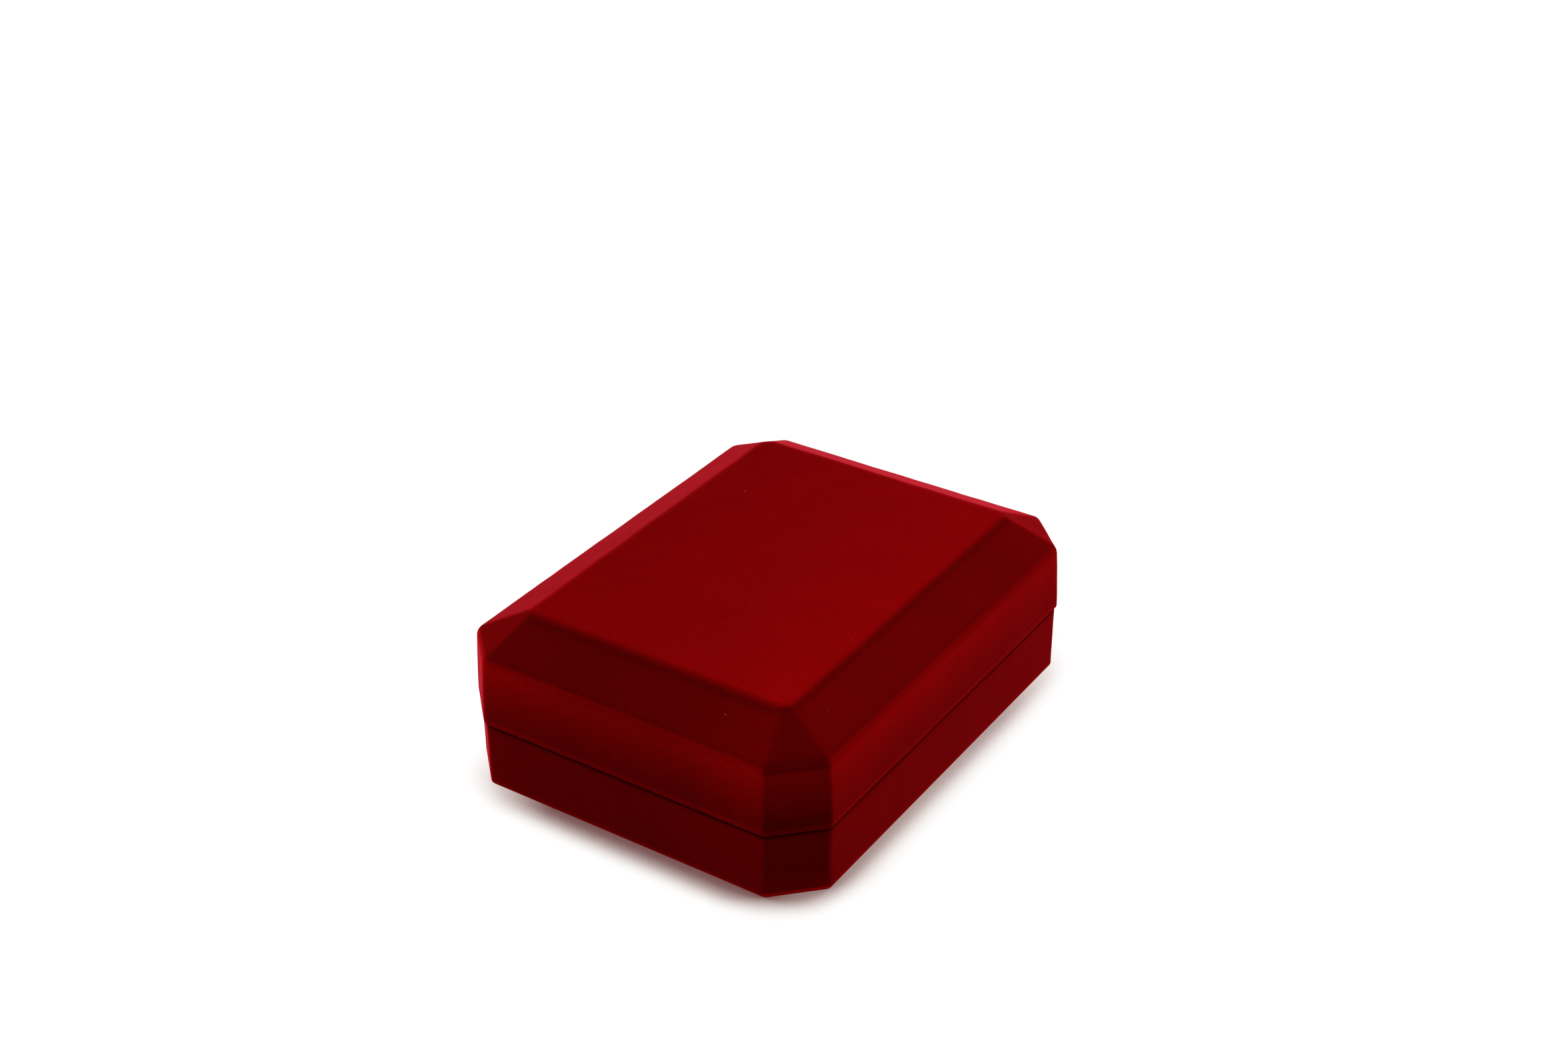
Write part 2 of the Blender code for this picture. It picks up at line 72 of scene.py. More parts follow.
INSIDE_CELL = 2.2 * MM  # size of the shells' faces inside
SEAT_GAP = 0.3 * MM  # between the hinge and what holds it
SEAT_WALL = 1.6 * MM  # moulded wall at a leaf's edges
SEAT_ROOT = 0.9 * MM  # how far the moulded seat runs into the wall
SEAT_TOP_GAP = 0.9 * MM  # from the notch to the moulded seat
NOTCH_GAP = 0.6 * MM  # beside the knuckles
OVERRUN = 2.0 * MM  # how far a cut runs past what it cuts
LEAF_BEND = 0.45 * MM  # radius between a leaf's plate and its knuckles
CURL = 200 * DEGREE  # how far a knuckle curls round the pin
PIN_BEVEL = 0.2 * MM
PIN_SIDES = 40

SOFT_EDGE = 1.0 * MM  # upright edges of the pad and of the cushion
WRAP_RADIUS = 0.9 * MM  # where cloth turns over an edge
SOFT_CELL = 1.6 * MM  # size of the sponges' faces
SOFT_STEPS = {"side_steps": 44, "corner_steps": 4, "cut_steps": 5}
CLOTH_SCALE = 10  # the cloth solver works on a copy this many times the size
CLOTH_FRAMES = 26
CLOTH_REACH = 14 * MM  # the furthest that a point of that copy may move

WALL_FACING = (0.78, 0.95)  # a wall faces an axis from the second share of its normal on
CUT_FACING = (1.14, 1.39)  # the same for the front right corner, of the normal's X less its Y
CAMERA_PLACE = (0.182794, -0.274848, 0.231394)
CAMERA_TURN = (59.545, 0.2742, 33.2102)

Plan = namedtuple("Plan", "half_width front rear front_leg rear_leg")


# Sizes and colours


def length(name, description, millimetres):
    return FloatProperty(
        name=name, description=description, default=millimetres * MM, unit="LENGTH", precision=5
    )


def colour(name, description, red, green, blue):
    return FloatVectorProperty(
        name=name, description=description, default=(red, green, blue), subtype="COLOR", min=0, max=1
    )


def share(name, description, value):
    return FloatProperty(name=name, description=description, default=value, subtype="FACTOR", min=0, max=1)


def amount(name, description, value):
    return FloatProperty(name=name, description=description, default=value, min=0)


class ShellSizes(bpy.types.PropertyGroup):
    """Sizes of the two flocked shells."""

    width: length("Width", "Across the lid", 70.0)
    length: length("Length", "From front to rear over the lid", 90.7)
    height: length("Height", "From the table to the flat top", 29.8)
    corner_leg: length("Corner leg", "How far a corner cut runs along each side", 7.65)
    seam_height: length("Seam height", "Middle of the parting line", 12.2)
    seam_gap: length("Seam gap", "Between the two rims", 0.3)
    shoulder_height: length("Shoulder height", "Where the lid's wall meets its bevels", 24.75)
    bevel_inset: length("Bevel inset", "How far the flat top lies inside the walls", 9.5)
    wall: length("Wall", "Thickness of the base's wall", 1.8)
    floor: length("Floor", "Thickness of the base's floor", 1.8)
    overhang: length("Overhang", "How far the lid stands out past the base", 0.25)
    coat: length("Coat", "How far the base's flock swells past the moulding", 0.25)
    draft: length("Draft", "How far a wall leans in over its height", 0.2)
    edge_radius: length("Edge radius", "Upright edges", 1.6)
    bottom_radius: length("Bottom radius", "Edge round the underside", 0.4)
    shoulder_radius: length("Shoulder radius", "Edge between the lid's wall and its bevels", 2.0)
    top_radius: length("Top radius", "Edge round the flat top", 3.0)
    lip_radius: length("Lip radius", "Outer edge of both rims", 0.45)
    rim_radius: length("Rim radius", "Inner edge of both rims", 0.3)
    inside_radius: length("Inside radius", "Edges inside the hollow", 1.0)
    rim_flare: length("Rim flare", "How far the lid's wall flares out at its rim", 0.4)
    wall_bow: length("Wall bow", "How far the lid's wall swells between its rim and its shoulder", 0.08)
    corner_push: length("Corner push", "How much sharper the flat top's corners are than the walls'", 0.7)
    corner_least: length("Least corner", "Shortest corner leg that the sharper corners keep", 0.6)
    end_shift: length("End shift", "How much further in the flat top's front and rear edges lie", 0.55)
    front_trim: length("Front trim", "How much shorter the front corner legs are", 0.25)
    rear_growth: length("Rear growth", "How much longer the rear corner legs are", 0.15)
    waviness: length("Waviness", "How far the flock coat swells and sinks", 0.06)


class CushionSizes(bpy.types.PropertyGroup):
    """Sizes of the pad in the base and of the cushion in the lid."""

    gap: length("Gap", "Between pieces that lie on or in each other", 0.3)
    rear: length("Rear edge", "How far behind the case's middle the pad ends", 39.3)
    rear_leg: length("Rear corner leg", "Corner cut at the rear of the pad", 2.6)
    cloth: length("Cloth", "Thickness of the velvet and of the satin", 0.5)
    card: length("Card", "Thickness of both cards", 1.0)
    sponge: length("Sponge", "Thickness of the pad's sponge", 3.0)
    sponge_gap: length("Sponge gap", "How much smaller than its card the sponge is, on each side", 0.4)
    skirt: length("Skirt", "How far the velvet wraps down from the card's top", 3.2)
    pad_crown: length("Pad crown", "How much the pad's middle stands above its edge", 0.3)
    chain_slit: length("Chain slit", "Length of each slit for a chain", 9.0)
    earring_slit: length("Earring slit", "Length of each slit for an earring", 3.6)
    slit: length("Slit", "Width of a slit in the sponge", 1.0)
    lid_sponge: length("Lid sponge", "Thickness at the edge of the lid's sponge", 2.6)
    lid_crown: length("Lid crown", "How much the middle of the lid's cushion swells", 1.4)
    fullness: share("Fullness", "How much larger than the sponge the satin is cut", 0.05)
    hold: share("Hold", "How firmly the satin follows the sponge", 0.08)
    puff: amount("Puff", "Pressure of the sponge on the satin", 2.0)


class HingeSizes(bpy.types.PropertyGroup):
    """Sizes of the stamped hinge and its snap spring."""

    sheet: length("Sheet", "Thickness of both leaves", 0.5)
    pin_radius: length("Pin radius", "Half the thickness of the hinge pin", 0.65)
    clearance: length("Clearance", "Round the pin inside the knuckles", 0.15)
    width: length("Width", "Of both leaves along the pin", 38.0)
    outer_knuckle: length("Outer knuckle", "Width of each of the lower leaf's knuckles", 7.0)
    inner_knuckle: length("Inner knuckle", "Width of each of the upper leaf's knuckles", 5.0)
    reach: length("Reach", "From the pin's axis to the far edge of a leaf", 8.3)
    lip: length("Lip", "Moulded lip that holds a leaf", 1.0)
    spring_width: length("Spring width", "Of the steel band", 11.0)
    spring_sheet: length("Spring thickness", "Of the steel band", 0.4)
    spring_bulge: length("Spring bulge", "From the leaves to the middle of the band", 1.7)
    spring_seat: length("Spring seat", "From the pin's axis to each slot", 6.3)


class VelvetLook(bpy.types.PropertyGroup):
    """Colours of the pile."""

    pile: colour("Pile", "Colour looking down into the pile", 0.1, 0.0002, 0.0002)
    sheen: colour("Sheen", "Colour of the fibres' sides", 1.0, 0.003, 0.007)
    sheen_weight: share("Sheen weight", "How strongly the fibres' sides catch light", 0.56)
    sheen_roughness: share("Sheen roughness", "How far the sheen spreads from grazing angles", 0.5)
    gloss: share("Gloss", "How much of the room the fibre tips mirror", 0.001)
    # Painted sheen: the pale pink the pile turns to at grazing angles. It is partly the loose fibres' own
    # colour and partly a painted glow of light through them.
    fuzz_and_sheen: colour("Fuzz", "Colour of the loose fibres that stand out at the outline", 1.0, 0.09, 0.16)
    fuzz_and_sheen_share: share("Fuzz share", "How much of the outline the loose fibres cover", 0.28)
    lint: colour("Lint", "Colour of the specks of dust", 0.55, 0.25, 0.22)


class StageLook(bpy.types.PropertyGroup):
    """Camera, lamps and floor."""

    lens: FloatProperty(
        name="Lens", description="Focal length in mm", default=52.1, subtype="DISTANCE_CAMERA"
    )
    left: amount("Left", "Watts of the softbox on the left", 5.6)
    rear: amount("Rear", "Watts of the softbox behind", 0.85)
    close: amount("Close", "Watts of the small softbox near the rear", 0.62)
    fill: amount("Fill", "Brightness of the surroundings", 0.3)
    floor: colour("Floor", "Colour of the table", 0.85, 0.85, 0.85)
    shadow_reach: length("Shadow reach", "How far the soft shade round the foot reaches", 9.0)


# Node trees


class Wire:
    """One output of a node. Arithmetic on it adds Math nodes to its tree."""

    def __init__(self, graph, node, out=0):
        self.graph = graph
        self.node = node
        self.socket = node.outputs[out]

    def other(self, out):
        """Another output of the same node."""
        return Wire(self.graph, self.node, out)

    def __add__(self, other):
        return self.graph.math("ADD", self, other)

    def __sub__(self, other):
        return self.graph.math("SUBTRACT", self, other)

    def __rsub__(self, other):
        return self.graph.math("SUBTRACT", other, self)

    def __mul__(self, other):
        return self.graph.math("MULTIPLY", self, other)

    def __truediv__(self, other):
        return self.graph.math("DIVIDE", self, other)

    def __rtruediv__(self, other):
        return self.graph.math("DIVIDE", other, self)

    def __pow__(self, other):
        return self.graph.math("POWER", self, other)

    __radd__ = __add__
    __rmul__ = __mul__


class Graph:
    """A node tree that is filled from Python expressions."""

    def __init__(self, tree):
        self.tree = tree
        tree.nodes.clear()

    def add(self, kind, settings=None, sockets=None, out=0):
        """Adds a node with its settings, then links or sets its sockets.

        A node with outputs gives a Wire.
        """
        node = self.tree.nodes.new(kind)
        for name, value in (settings or {}).items():
            setattr(node, name, value)
        for key, value in (sockets or {}).items():
            if isinstance(value, Wire):
                self.tree.links.new(value.socket, node.inputs[key])
            else:
                node.inputs[key].default_value = value
        return Wire(self, node, out) if node.outputs else node

    def math(self, operation, *values):
        return self.add("ShaderNodeMath", {"operation": operation}, dict(enumerate(values)))

    def scaled(self, vector, factor):
        """A colour or a direction times a number."""
        sockets = {0: vector, "Scale": factor}
        return self.add("ShaderNodeVectorMath", {"operation": "SCALE"}, sockets)

    def axes(self, vector):
        """A vector's X, and its Y and Z as other outputs."""
        return self.add("ShaderNodeSeparateXYZ", None, {0: vector})

    def mix_colours(self, factor, one, two):
        return self.add("ShaderNodeMix", {"data_type": "RGBA"}, {0: factor, 6: one, 7: two}, out=2)

    def limit(self, value):
        """The value kept from 0 to 1."""
        return self.math("MINIMUM", self.math("MAXIMUM", value, 0), 1)

    def smooth_step(self, value, zero, one):
        """0 where the value is at zero, 1 where it is at one, and eased between."""
        part = self.limit((value - zero) / (one - zero))
        return part * part * (3 - part * 2)

    def band(self, value, low, full, still_full, high):
        """0 up to low and from high on, 1 from full to still_full, and eased between."""
        return self.smooth_step(value, low, full) * self.smooth_step(value, high, still_full)

    def noise(self, place, scale, detail=2.0, roughness=0.5, seed=0.0):
        """Even noise from 0 to 1 with a mean of a half."""
        settings = {"noise_dimensions": "4D"}
        sockets = {"Vector": place, "Scale": scale, "Detail": detail, "Roughness": roughness, "W": seed}
        return self.add("ShaderNodeTexNoise", settings, sockets)

    def streaks(self, place, scale, detail, roughness, seed):
        """Noise with a scale of its own along each axis."""
        stretched = self.add("ShaderNodeMapping", None, {"Vector": place, "Scale": scale})
        return self.noise(stretched, 1.0, detail, roughness, seed)

    def cells(self, place, scale):
        """The distance to the middle of the nearest of many uneven cells."""
        return self.add("ShaderNodeTexVoronoi", None, {"Vector": place, "Scale": scale, "Randomness": 1.0})

    def specks(self, place, scale, edge, core, rarity):
        """Round specks in the cells whose chance is above the rarity."""
        cells = self.cells(place, scale)
        chance = self.add("ShaderNodeSeparateColor", None, {0: cells.other("Color")})
        return self.smooth_step(cells, edge, core) * self.smooth_step(chance, rarity, rarity + 0.02)

    def bump(self, strength, depth, height):
        sockets = {"Strength": strength, "Distance": depth, "Height": height}
        return self.add("ShaderNodeBump", None, sockets)


def new_geometry_tree(name, numbers):
    """A geometry tree that takes a Geometry, a Material and the named numbers."""
    tree = bpy.data.node_groups.new(name, "GeometryNodeTree")
    tree.interface.new_socket("Geometry", in_out="INPUT", socket_type="NodeSocketGeometry")
    for title, default in numbers.items():
        kind = "NodeSocketInt" if isinstance(default, int) else "NodeSocketFloat"
        socket = tree.interface.new_socket(title, in_out="INPUT", socket_type=kind)
        socket.default_value = default
    tree.interface.new_socket("Material", in_out="INPUT", socket_type="NodeSocketMaterial")
    tree.interface.new_socket("Geometry", in_out="OUTPUT", socket_type="NodeSocketGeometry")
    graph = Graph(tree)
    entry = graph.add("NodeGroupInput")
    return graph, entry


def end_geometry_tree(graph, entry, geometry):
    """Realizes the instances, sets the material and ends the tree."""
    real = graph.add("GeometryNodeRealizeInstances", None, {"Geometry": geometry})
    painted = graph.add(
        "GeometryNodeSetMaterial", None, {"Geometry": real, "Material": entry.other("Material")}
    )
    graph.add("NodeGroupOutput", None, {"Geometry": painted})
    return graph.tree


def make_ring_tree():
    """Sweeps a profile round an eight-sided plan.

    The profile is a row of points. Their x is how far they lie inside the plan, their y how much of the
    ring's size is left, from 0 at the middle to 1, and their z the height. Their edge_radius rounds the
    upright edges, their corner_push moves the corner cuts outward, and their end_shift draws both
    ends in. The surface then swells and sinks a little, as a coat of flock does, except where it stands on
    the table.
    """
    graph, entry = new_geometry_tree(
        SWEEP,
        {
            "Half Width": 35 * MM,
            "Half Length": 45.35 * MM,
            "Middle": 0.0,
            "Front Leg": 7.65 * MM,
            "Rear Leg": 7.65 * MM,
            "Corner Steps": 6,
            "Cut Steps": 8,
            "Side Steps": 60,
            "Waviness": 0.0,
            "Wave Length": 9 * MM,
            "Seed": 1.0,
        },
    )
    half_width, half_length = entry.other("Half Width"), entry.other("Half Length")
    corner, cut, side = entry.other("Corner Steps"), entry.other("Cut Steps"), entry.other("Side Steps")
    profile = entry.other("Geometry")
    stations = graph.add("GeometryNodeAttributeDomainSize", None, {0: profile})
    quarter = 2 * corner + cut + side

    counts = {"Vertices X": 4 * quarter + 1, "Vertices Y": stations}
    grid = graph.add("GeometryNodeMeshGrid", None, counts)

    def whole(number):
        """The number without its fraction, which rounding may have made a trace too small."""
        return graph.math("FLOOR", number + 1e-4)

    def at_station(kind, value):
        """The value at the profile's point that this point of the grid comes from."""
        settings = {"data_type": kind, "domain": "POINT"}
        sockets = {"Geometry": profile, "Value": value, "Index": row}
        return graph.add("GeometryNodeSampleIndex", settings, sockets)

    def station_value(name):
        named = graph.add("GeometryNodeInputNamedAttribute", {"data_type": "FLOAT"}, {"Name": name})
        return at_station("FLOAT", named)

    index = graph.add("GeometryNodeInputIndex")
    column = whole(index / stations)
    row = index - column * stations
    place = graph.add("GeometryNodeInputPosition")
    station = graph.axes(at_station("FLOAT_VECTOR", place))
    inset, left, height = station, station.other("Y"), station.other("Z")
    asked, push_out, end_shift = (station_value(name) for name in STATION_VALUES)
    turn = whole(column / quarter)
    step = column - turn * quarter

    def cut_side(which):
        """The corner cut's distance from the middle, and the radius of its two edges."""
        at_rear = graph.math("COMPARE", graph.math("MODULO", which + 0.25, 4), 1.75, 0.6)
        leg = entry.other("Front Leg") * (1 - at_rear) + entry.other("Rear Leg") * at_rear
        left_leg = leg - inset * MITRE_LOSS - push_out * math.sqrt(2)
        room = left_leg * (ROOM_SHARE * math.sqrt(2) / math.tan(22.5 * DEGREE))
        radius = graph.math("MINIMUM", asked, room)
        away = (half_width + half_length - leg) * math.sqrt(0.5) - inset + push_out
        return away - radius, radius

    def circle_point(angle, radius):
        return graph.math("COSINE", angle) * radius, graph.math("SINE", angle) * radius

    def portion(start, count):
        return graph.limit((step - start) / count)

    odd = graph.math("MODULO", turn + 0.01, 2) - 0.01
    this_side = half_length + (half_width - half_length) * odd
    cut_away, radius = cut_side(turn)
    next_cut_away, next_radius = cut_side(turn + 1)
    this_away = this_side - inset - radius
    next_away = half_width + half_length - this_side - inset - radius
    next_start = half_width + half_length - this_side - inset - next_radius

    one_x = cut_away * math.sqrt(2) - this_away
    one_y = this_away * -1
    two_x = next_away
    two_y = next_away - cut_away * math.sqrt(2)
    one_arc = circle_point(portion(0, corner) * (45 * DEGREE) - 90 * DEGREE, radius)
    two_arc = circle_point(portion(corner + cut, corner) * (45 * DEGREE) - 45 * DEGREE, radius)
    half_turn = (radius * math.sqrt(0.5), radius * -math.sqrt(0.5))
    along_cut = portion(corner, cut)
    along_side = portion(2 * corner + cut, side)
    last_y = next_cut_away * math.sqrt(2) - next_start
    x = one_x + one_arc[0] + along_cut * (two_x - one_x) + (two_arc[0] - half_turn[0])
    y = one_y + one_arc[1] + along_cut * (two_y - one_y) + (two_arc[1] - half_turn[1])
    y = y + along_side * (last_y - two_y)
    cosine, sine = graph.math("COSINE", turn * (90 * DEGREE)), graph.math("SINE", turn * (90 * DEGREE))
    ring_x = (x * cosine - y * sine) * left
    round_y = x * sine + y * cosine
    drawn = round_y / half_length * end_shift
    ring_y = (round_y - drawn) * left + entry.other("Middle")
    point = graph.add("ShaderNodeCombineXYZ", None, {0: ring_x, 1: ring_y, 2: height})
    shaped = graph.add("GeometryNodeSetPosition", None, {"Geometry": grid, "Position": point})
    closed = graph.add("GeometryNodeMergeByDistance", None, {"Geometry": shaped, "Distance": 1e-6})

    wave = graph.noise(place, 1 / entry.other("Wave Length"), 2.0, 0.5, entry.other("Seed")) - 0.5
    above_table = graph.limit(graph.axes(place).other("Z") / (2 * MM))
    swell = wave * above_table * entry.other("Waviness") * 4
    push = graph.scaled(graph.add("GeometryNodeInputNormal"), swell)
    waved = graph.add("GeometryNodeSetPosition", None, {"Geometry": closed, "Offset": push})
    smooth = graph.add("GeometryNodeSetShadeSmooth", None, {"Geometry": waved})
    return end_geometry_tree(graph, entry, smooth)


# Meshes


def link(obj):
    bpy.context.scene.collection.objects.link(obj)
    return obj


def apply_modifiers(obj):
    """Turns the object's modifiers into plain mesh."""
    graph = bpy.context.evaluated_depsgraph_get()
    graph.update()
    mesh = bpy.data.meshes.new_from_object(obj.evaluated_get(graph))
    mesh.name = obj.name
    old = obj.data
    obj.modifiers.clear()
    obj.data = mesh
    bpy.data.meshes.remove(old)
    return obj


def set_inputs(modifier, tree, values):
    """Sets a geometry modifier's inputs by the identifiers of their names."""
    found = {item.name: item.identifier for item in tree.interface.items_tree if item.in_out == "INPUT"}
    for name, value in values.items():
        modifier[found[name]] = value


def points_of(mesh):
    points = np.empty(len(mesh.vertices) * 3, np.float32)
    mesh.vertices.foreach_get("co", points)
    return points.reshape(-1, 3)


def volume(mesh):
    mesh.calc_loop_triangles()
    corners = np.empty(len(mesh.loop_triangles) * 3, np.int32)
    mesh.loop_triangles.foreach_get("vertices", corners)
    a, b, c = points_of(mesh)[corners.reshape(-1, 3)].astype(float).transpose(1, 0, 2)
    return float((a * np.cross(b, c)).sum() / 6)


def turned(x, y, angle):
    cosine, sine = math.cos(angle), math.sin(angle)
    return x * cosine - y * sine, x * sine + y * cosine


def rounded(corners, radius, steps):
    """The points of an arc at the middle one of three corners."""
    (x0, y0), (x, y), (x1, y1) = corners
    to_before, to_after = math.hypot(x0 - x, y0 - y), math.hypot(x1 - x, y1 - y)
    back = ((x0 - x) / to_before, (y0 - y) / to_before)
    ahead = ((x1 - x) / to_after, (y1 - y) / to_after)
    opening = math.acos(back[0] * ahead[0] + back[1] * ahead[1])
    reach = min(radius / math.tan(opening / 2), ROOM_SHARE * min(to_before, to_after))
    arc_radius = reach * math.tan(opening / 2)
    middle = (back[0] + ahead[0], back[1] + ahead[1])
    to_centre = math.hypot(reach, arc_radius) / math.hypot(*middle)
    centre = (x + middle[0] * to_centre, y + middle[1] * to_centre)
    start = (x + back[0] * reach - centre[0], y + back[1] * reach - centre[1])
    turn = math.pi - opening
    if back[0] * ahead[1] - back[1] * ahead[0] > 0:
        turn = -turn
    points = []
    for step in range(steps + 1):
        x, y = turned(start[0], start[1], turn * step / steps)
        points.append((centre[0] + x, centre[1] + y))
    return points


def filleted(stations, steps):
    """A profile of (inset, height) points with an arc at each inner station that has a radius."""
    profile = [stations[0][:2]]
    for before, station, after in zip(stations, stations[1:], stations[2:]):
        if station[2] == 0:
            profile.append(station[:2])
        else:
            profile += rounded((before[:2], station[:2], after[:2]), station[2], steps)
    return profile + [stations[-1][:2]]


def spaced(profile, gap):
    """The profile with points added where two lie further apart than the gap."""
    points = [profile[0]]
    for (x0, y0), (x1, y1) in zip(profile, profile[1:]):
        count = max(1, math.ceil(math.hypot(x1 - x0, y1 - y0) / gap - 0.01))
        for step in range(1, count + 1):
            points.append((x0 + (x1 - x0) * step / count, y0 + (y1 - y0) * step / count))
    return points


def inset_plan(plan, distance):
    """The plan drawn in by a distance on every side, the corner cuts included."""
    loss = distance * MITRE_LOSS
    return Plan(
        plan.half_width - distance,
        plan.front + distance,
        plan.rear - distance,
        plan.front_leg - loss,
        plan.rear_leg - loss,
    )


def profile_object(name, rows):
    """The row of points that the ring tree sweeps.

    Each holds its inset, share of the ring, height, edge radius, corner push and end shift.
    """
    mesh = bpy.data.meshes.new(name)
    mesh.from_pydata([row[:3] for row in rows], [(i, i + 1) for i in range(len(rows) - 1)], [])
    for place, title in enumerate(STATION_VALUES, 3):
        values = mesh.attributes.new(title, "FLOAT", "POINT")
        values.data.foreach_set("value", [row[place] if len(row) > place else 0.0 for row in rows])
    return link(bpy.data.objects.new(name, mesh))


def sweep(name, rows, plan, material, **numbers):
    """A closed body made by sweeping the rows round the plan."""
    tree = bpy.data.node_groups.get(SWEEP) or make_ring_tree()
    obj = profile_object(name, rows)
    modifier = obj.modifiers.new("sweep", "NODES")
    modifier.node_group = tree
    values = {
        "Half Width": plan.half_width,
        "Half Length": (plan.rear - plan.front) / 2,
        "Middle": (plan.rear + plan.front) / 2,
        "Front Leg": plan.front_leg,
        "Rear Leg": plan.rear_leg,
        "Material": material,
    }
    values.update({key.replace("_", " ").title(): value for key, value in numbers.items()})
    set_inputs(modifier, tree, values)
    apply_modifiers(obj)
    if volume(obj.data) < 0:
        obj.data.flip_normals()
    return obj


def as_object(name, mesh):
    """Links an object made of a bmesh, and frees the bmesh."""
    data = bpy.data.meshes.new(name)
    mesh.to_mesh(data)
    mesh.free()
    return link(bpy.data.objects.new(name, data))


def join_loops(mesh, loops):
    """Joins each closed loop of vertices to the next with a ring of faces."""
    for lower, upper in zip(loops, loops[1:]):
        for index in range(len(lower)):
            ahead = (index + 1) % len(lower)
            mesh.faces.new((lower[index], lower[ahead], upper[ahead], upper[index]))


def ring_body(name, rings):
    """A closed body whose surface runs over rings of points, one after another."""
    mesh = bmesh.new()
    loops = [[mesh.verts.new(point) for point in ring] for ring in rings]
    join_loops(mesh, loops)
    mesh.faces.new(reversed(loops[0]))
    mesh.faces.new(loops[-1])
    bmesh.ops.recalc_face_normals(mesh, faces=mesh.faces)
    return as_object(name, mesh)


def block(name, low, high):
    """A box between two opposite corners, used as a cutter or an addition."""
    mesh = bmesh.new()
    corners = [(low[0], low[1]), (high[0], low[1]), (high[0], high[1]), (low[0], high[1])]
    lower = [mesh.verts.new((x, y, low[2])) for x, y in corners]
    upper = [mesh.verts.new((x, y, high[2])) for x, y in corners]
    mesh.faces.new(reversed(lower))
    mesh.faces.new(upper)
    join_loops(mesh, [lower, upper])
    return as_object(name, mesh)


def combine(obj, tools):
    """Adds or cuts the tools, given as (operation, tool) pairs, then removes them."""
    for operation, tool in tools:
        modifier = obj.modifiers.new(tool.name, "BOOLEAN")
        modifier.operation = operation
        modifier.solver = "EXACT"
        modifier.object = tool
    apply_modifiers(obj)
    for _, tool in tools:
        data = tool.data
        bpy.data.objects.remove(tool)
        bpy.data.meshes.remove(data)


def finish_piece(obj, material, sharp):
    """One material, smooth shading, and sharp edges past an angle."""
    obj.data.materials.clear()
    obj.data.materials.append(material)
    for face in obj.data.polygons:
        face.material_index = 0
    obj.data.shade_smooth()
    obj.data.set_sharp_from_angle(angle=sharp)


# Flocked shells


def case_plan(sizes):
    half = sizes.length / 2
    return Plan(sizes.width / 2, -half, half, sizes.corner_leg, sizes.corner_leg)


def shell_plan(sizes):
    """The case's plan with the corner cuts as they look under the flock."""
    plan = case_plan(sizes)
    front_leg = plan.front_leg - sizes.front_trim
    return plan._replace(front_leg=front_leg, rear_leg=plan.rear_leg + sizes.rear_growth)


def hub_rows(last, edge_radius, gap, sizes):
    """Rows that carry a flat face from a ring in to the middle."""
    count = math.ceil((sizes.width / 2 - last[0]) / gap)
    return [(last[0], 1 - step / count, last[1], edge_radius) for step in range(1, count + 1)]


def base_rows(sizes):
    """The base's profile: from the middle of the underside, over the rim, to the middle of the floor."""
    rim = sizes.seam_height - sizes.seam_gap / 2
    inner = sizes.wall + sizes.overhang
    reach = sizes.wall + sizes.inside_radius
    outer = sizes.overhang - sizes.coat
    outside = [
        (outer + reach, 0, 0),
        (outer, 0, sizes.bottom_radius),
        (outer, rim, sizes.lip_radius),
        (inner, rim, 0),
    ]
    inside = [
        (sizes.overhang, rim, 0),
        (inner, rim, sizes.rim_radius),
        (inner, sizes.floor, sizes.inside_radius),
        (inner + reach, sizes.floor, 0),
    ]
    outside = spaced(filleted(outside, 8)[:-1], 1.2 * MM)
    inside = spaced(filleted(inside, 6)[1:], INSIDE_CELL)
    rows = hub_rows(outside[0], sizes.edge_radius, INSIDE_CELL, sizes)[::-1]
    rows += [(x, 1, z, sizes.edge_radius) for x, z in outside]
    rows += [(x, 1, z, sizes.inside_radius) for x, z in inside]
    return rows + hub_rows(inside[-1], sizes.inside_radius, INSIDE_CELL, sizes)


def lid_inside(sizes):
    """The height of the inside shoulder and of the roof, and how far the inner flat lies inside the walls."""
    slope = math.atan2(sizes.height - sizes.shoulder_height, sizes.bevel_inset - sizes.draft)
    inner = sizes.wall + sizes.overhang
    shoulder = sizes.shoulder_height - (inner - (inner - sizes.draft) * math.sin(slope)) / math.cos(slope)
    roof = sizes.height - inner
    return shoulder, roof, inner + (roof - shoulder) / math.tan(slope)


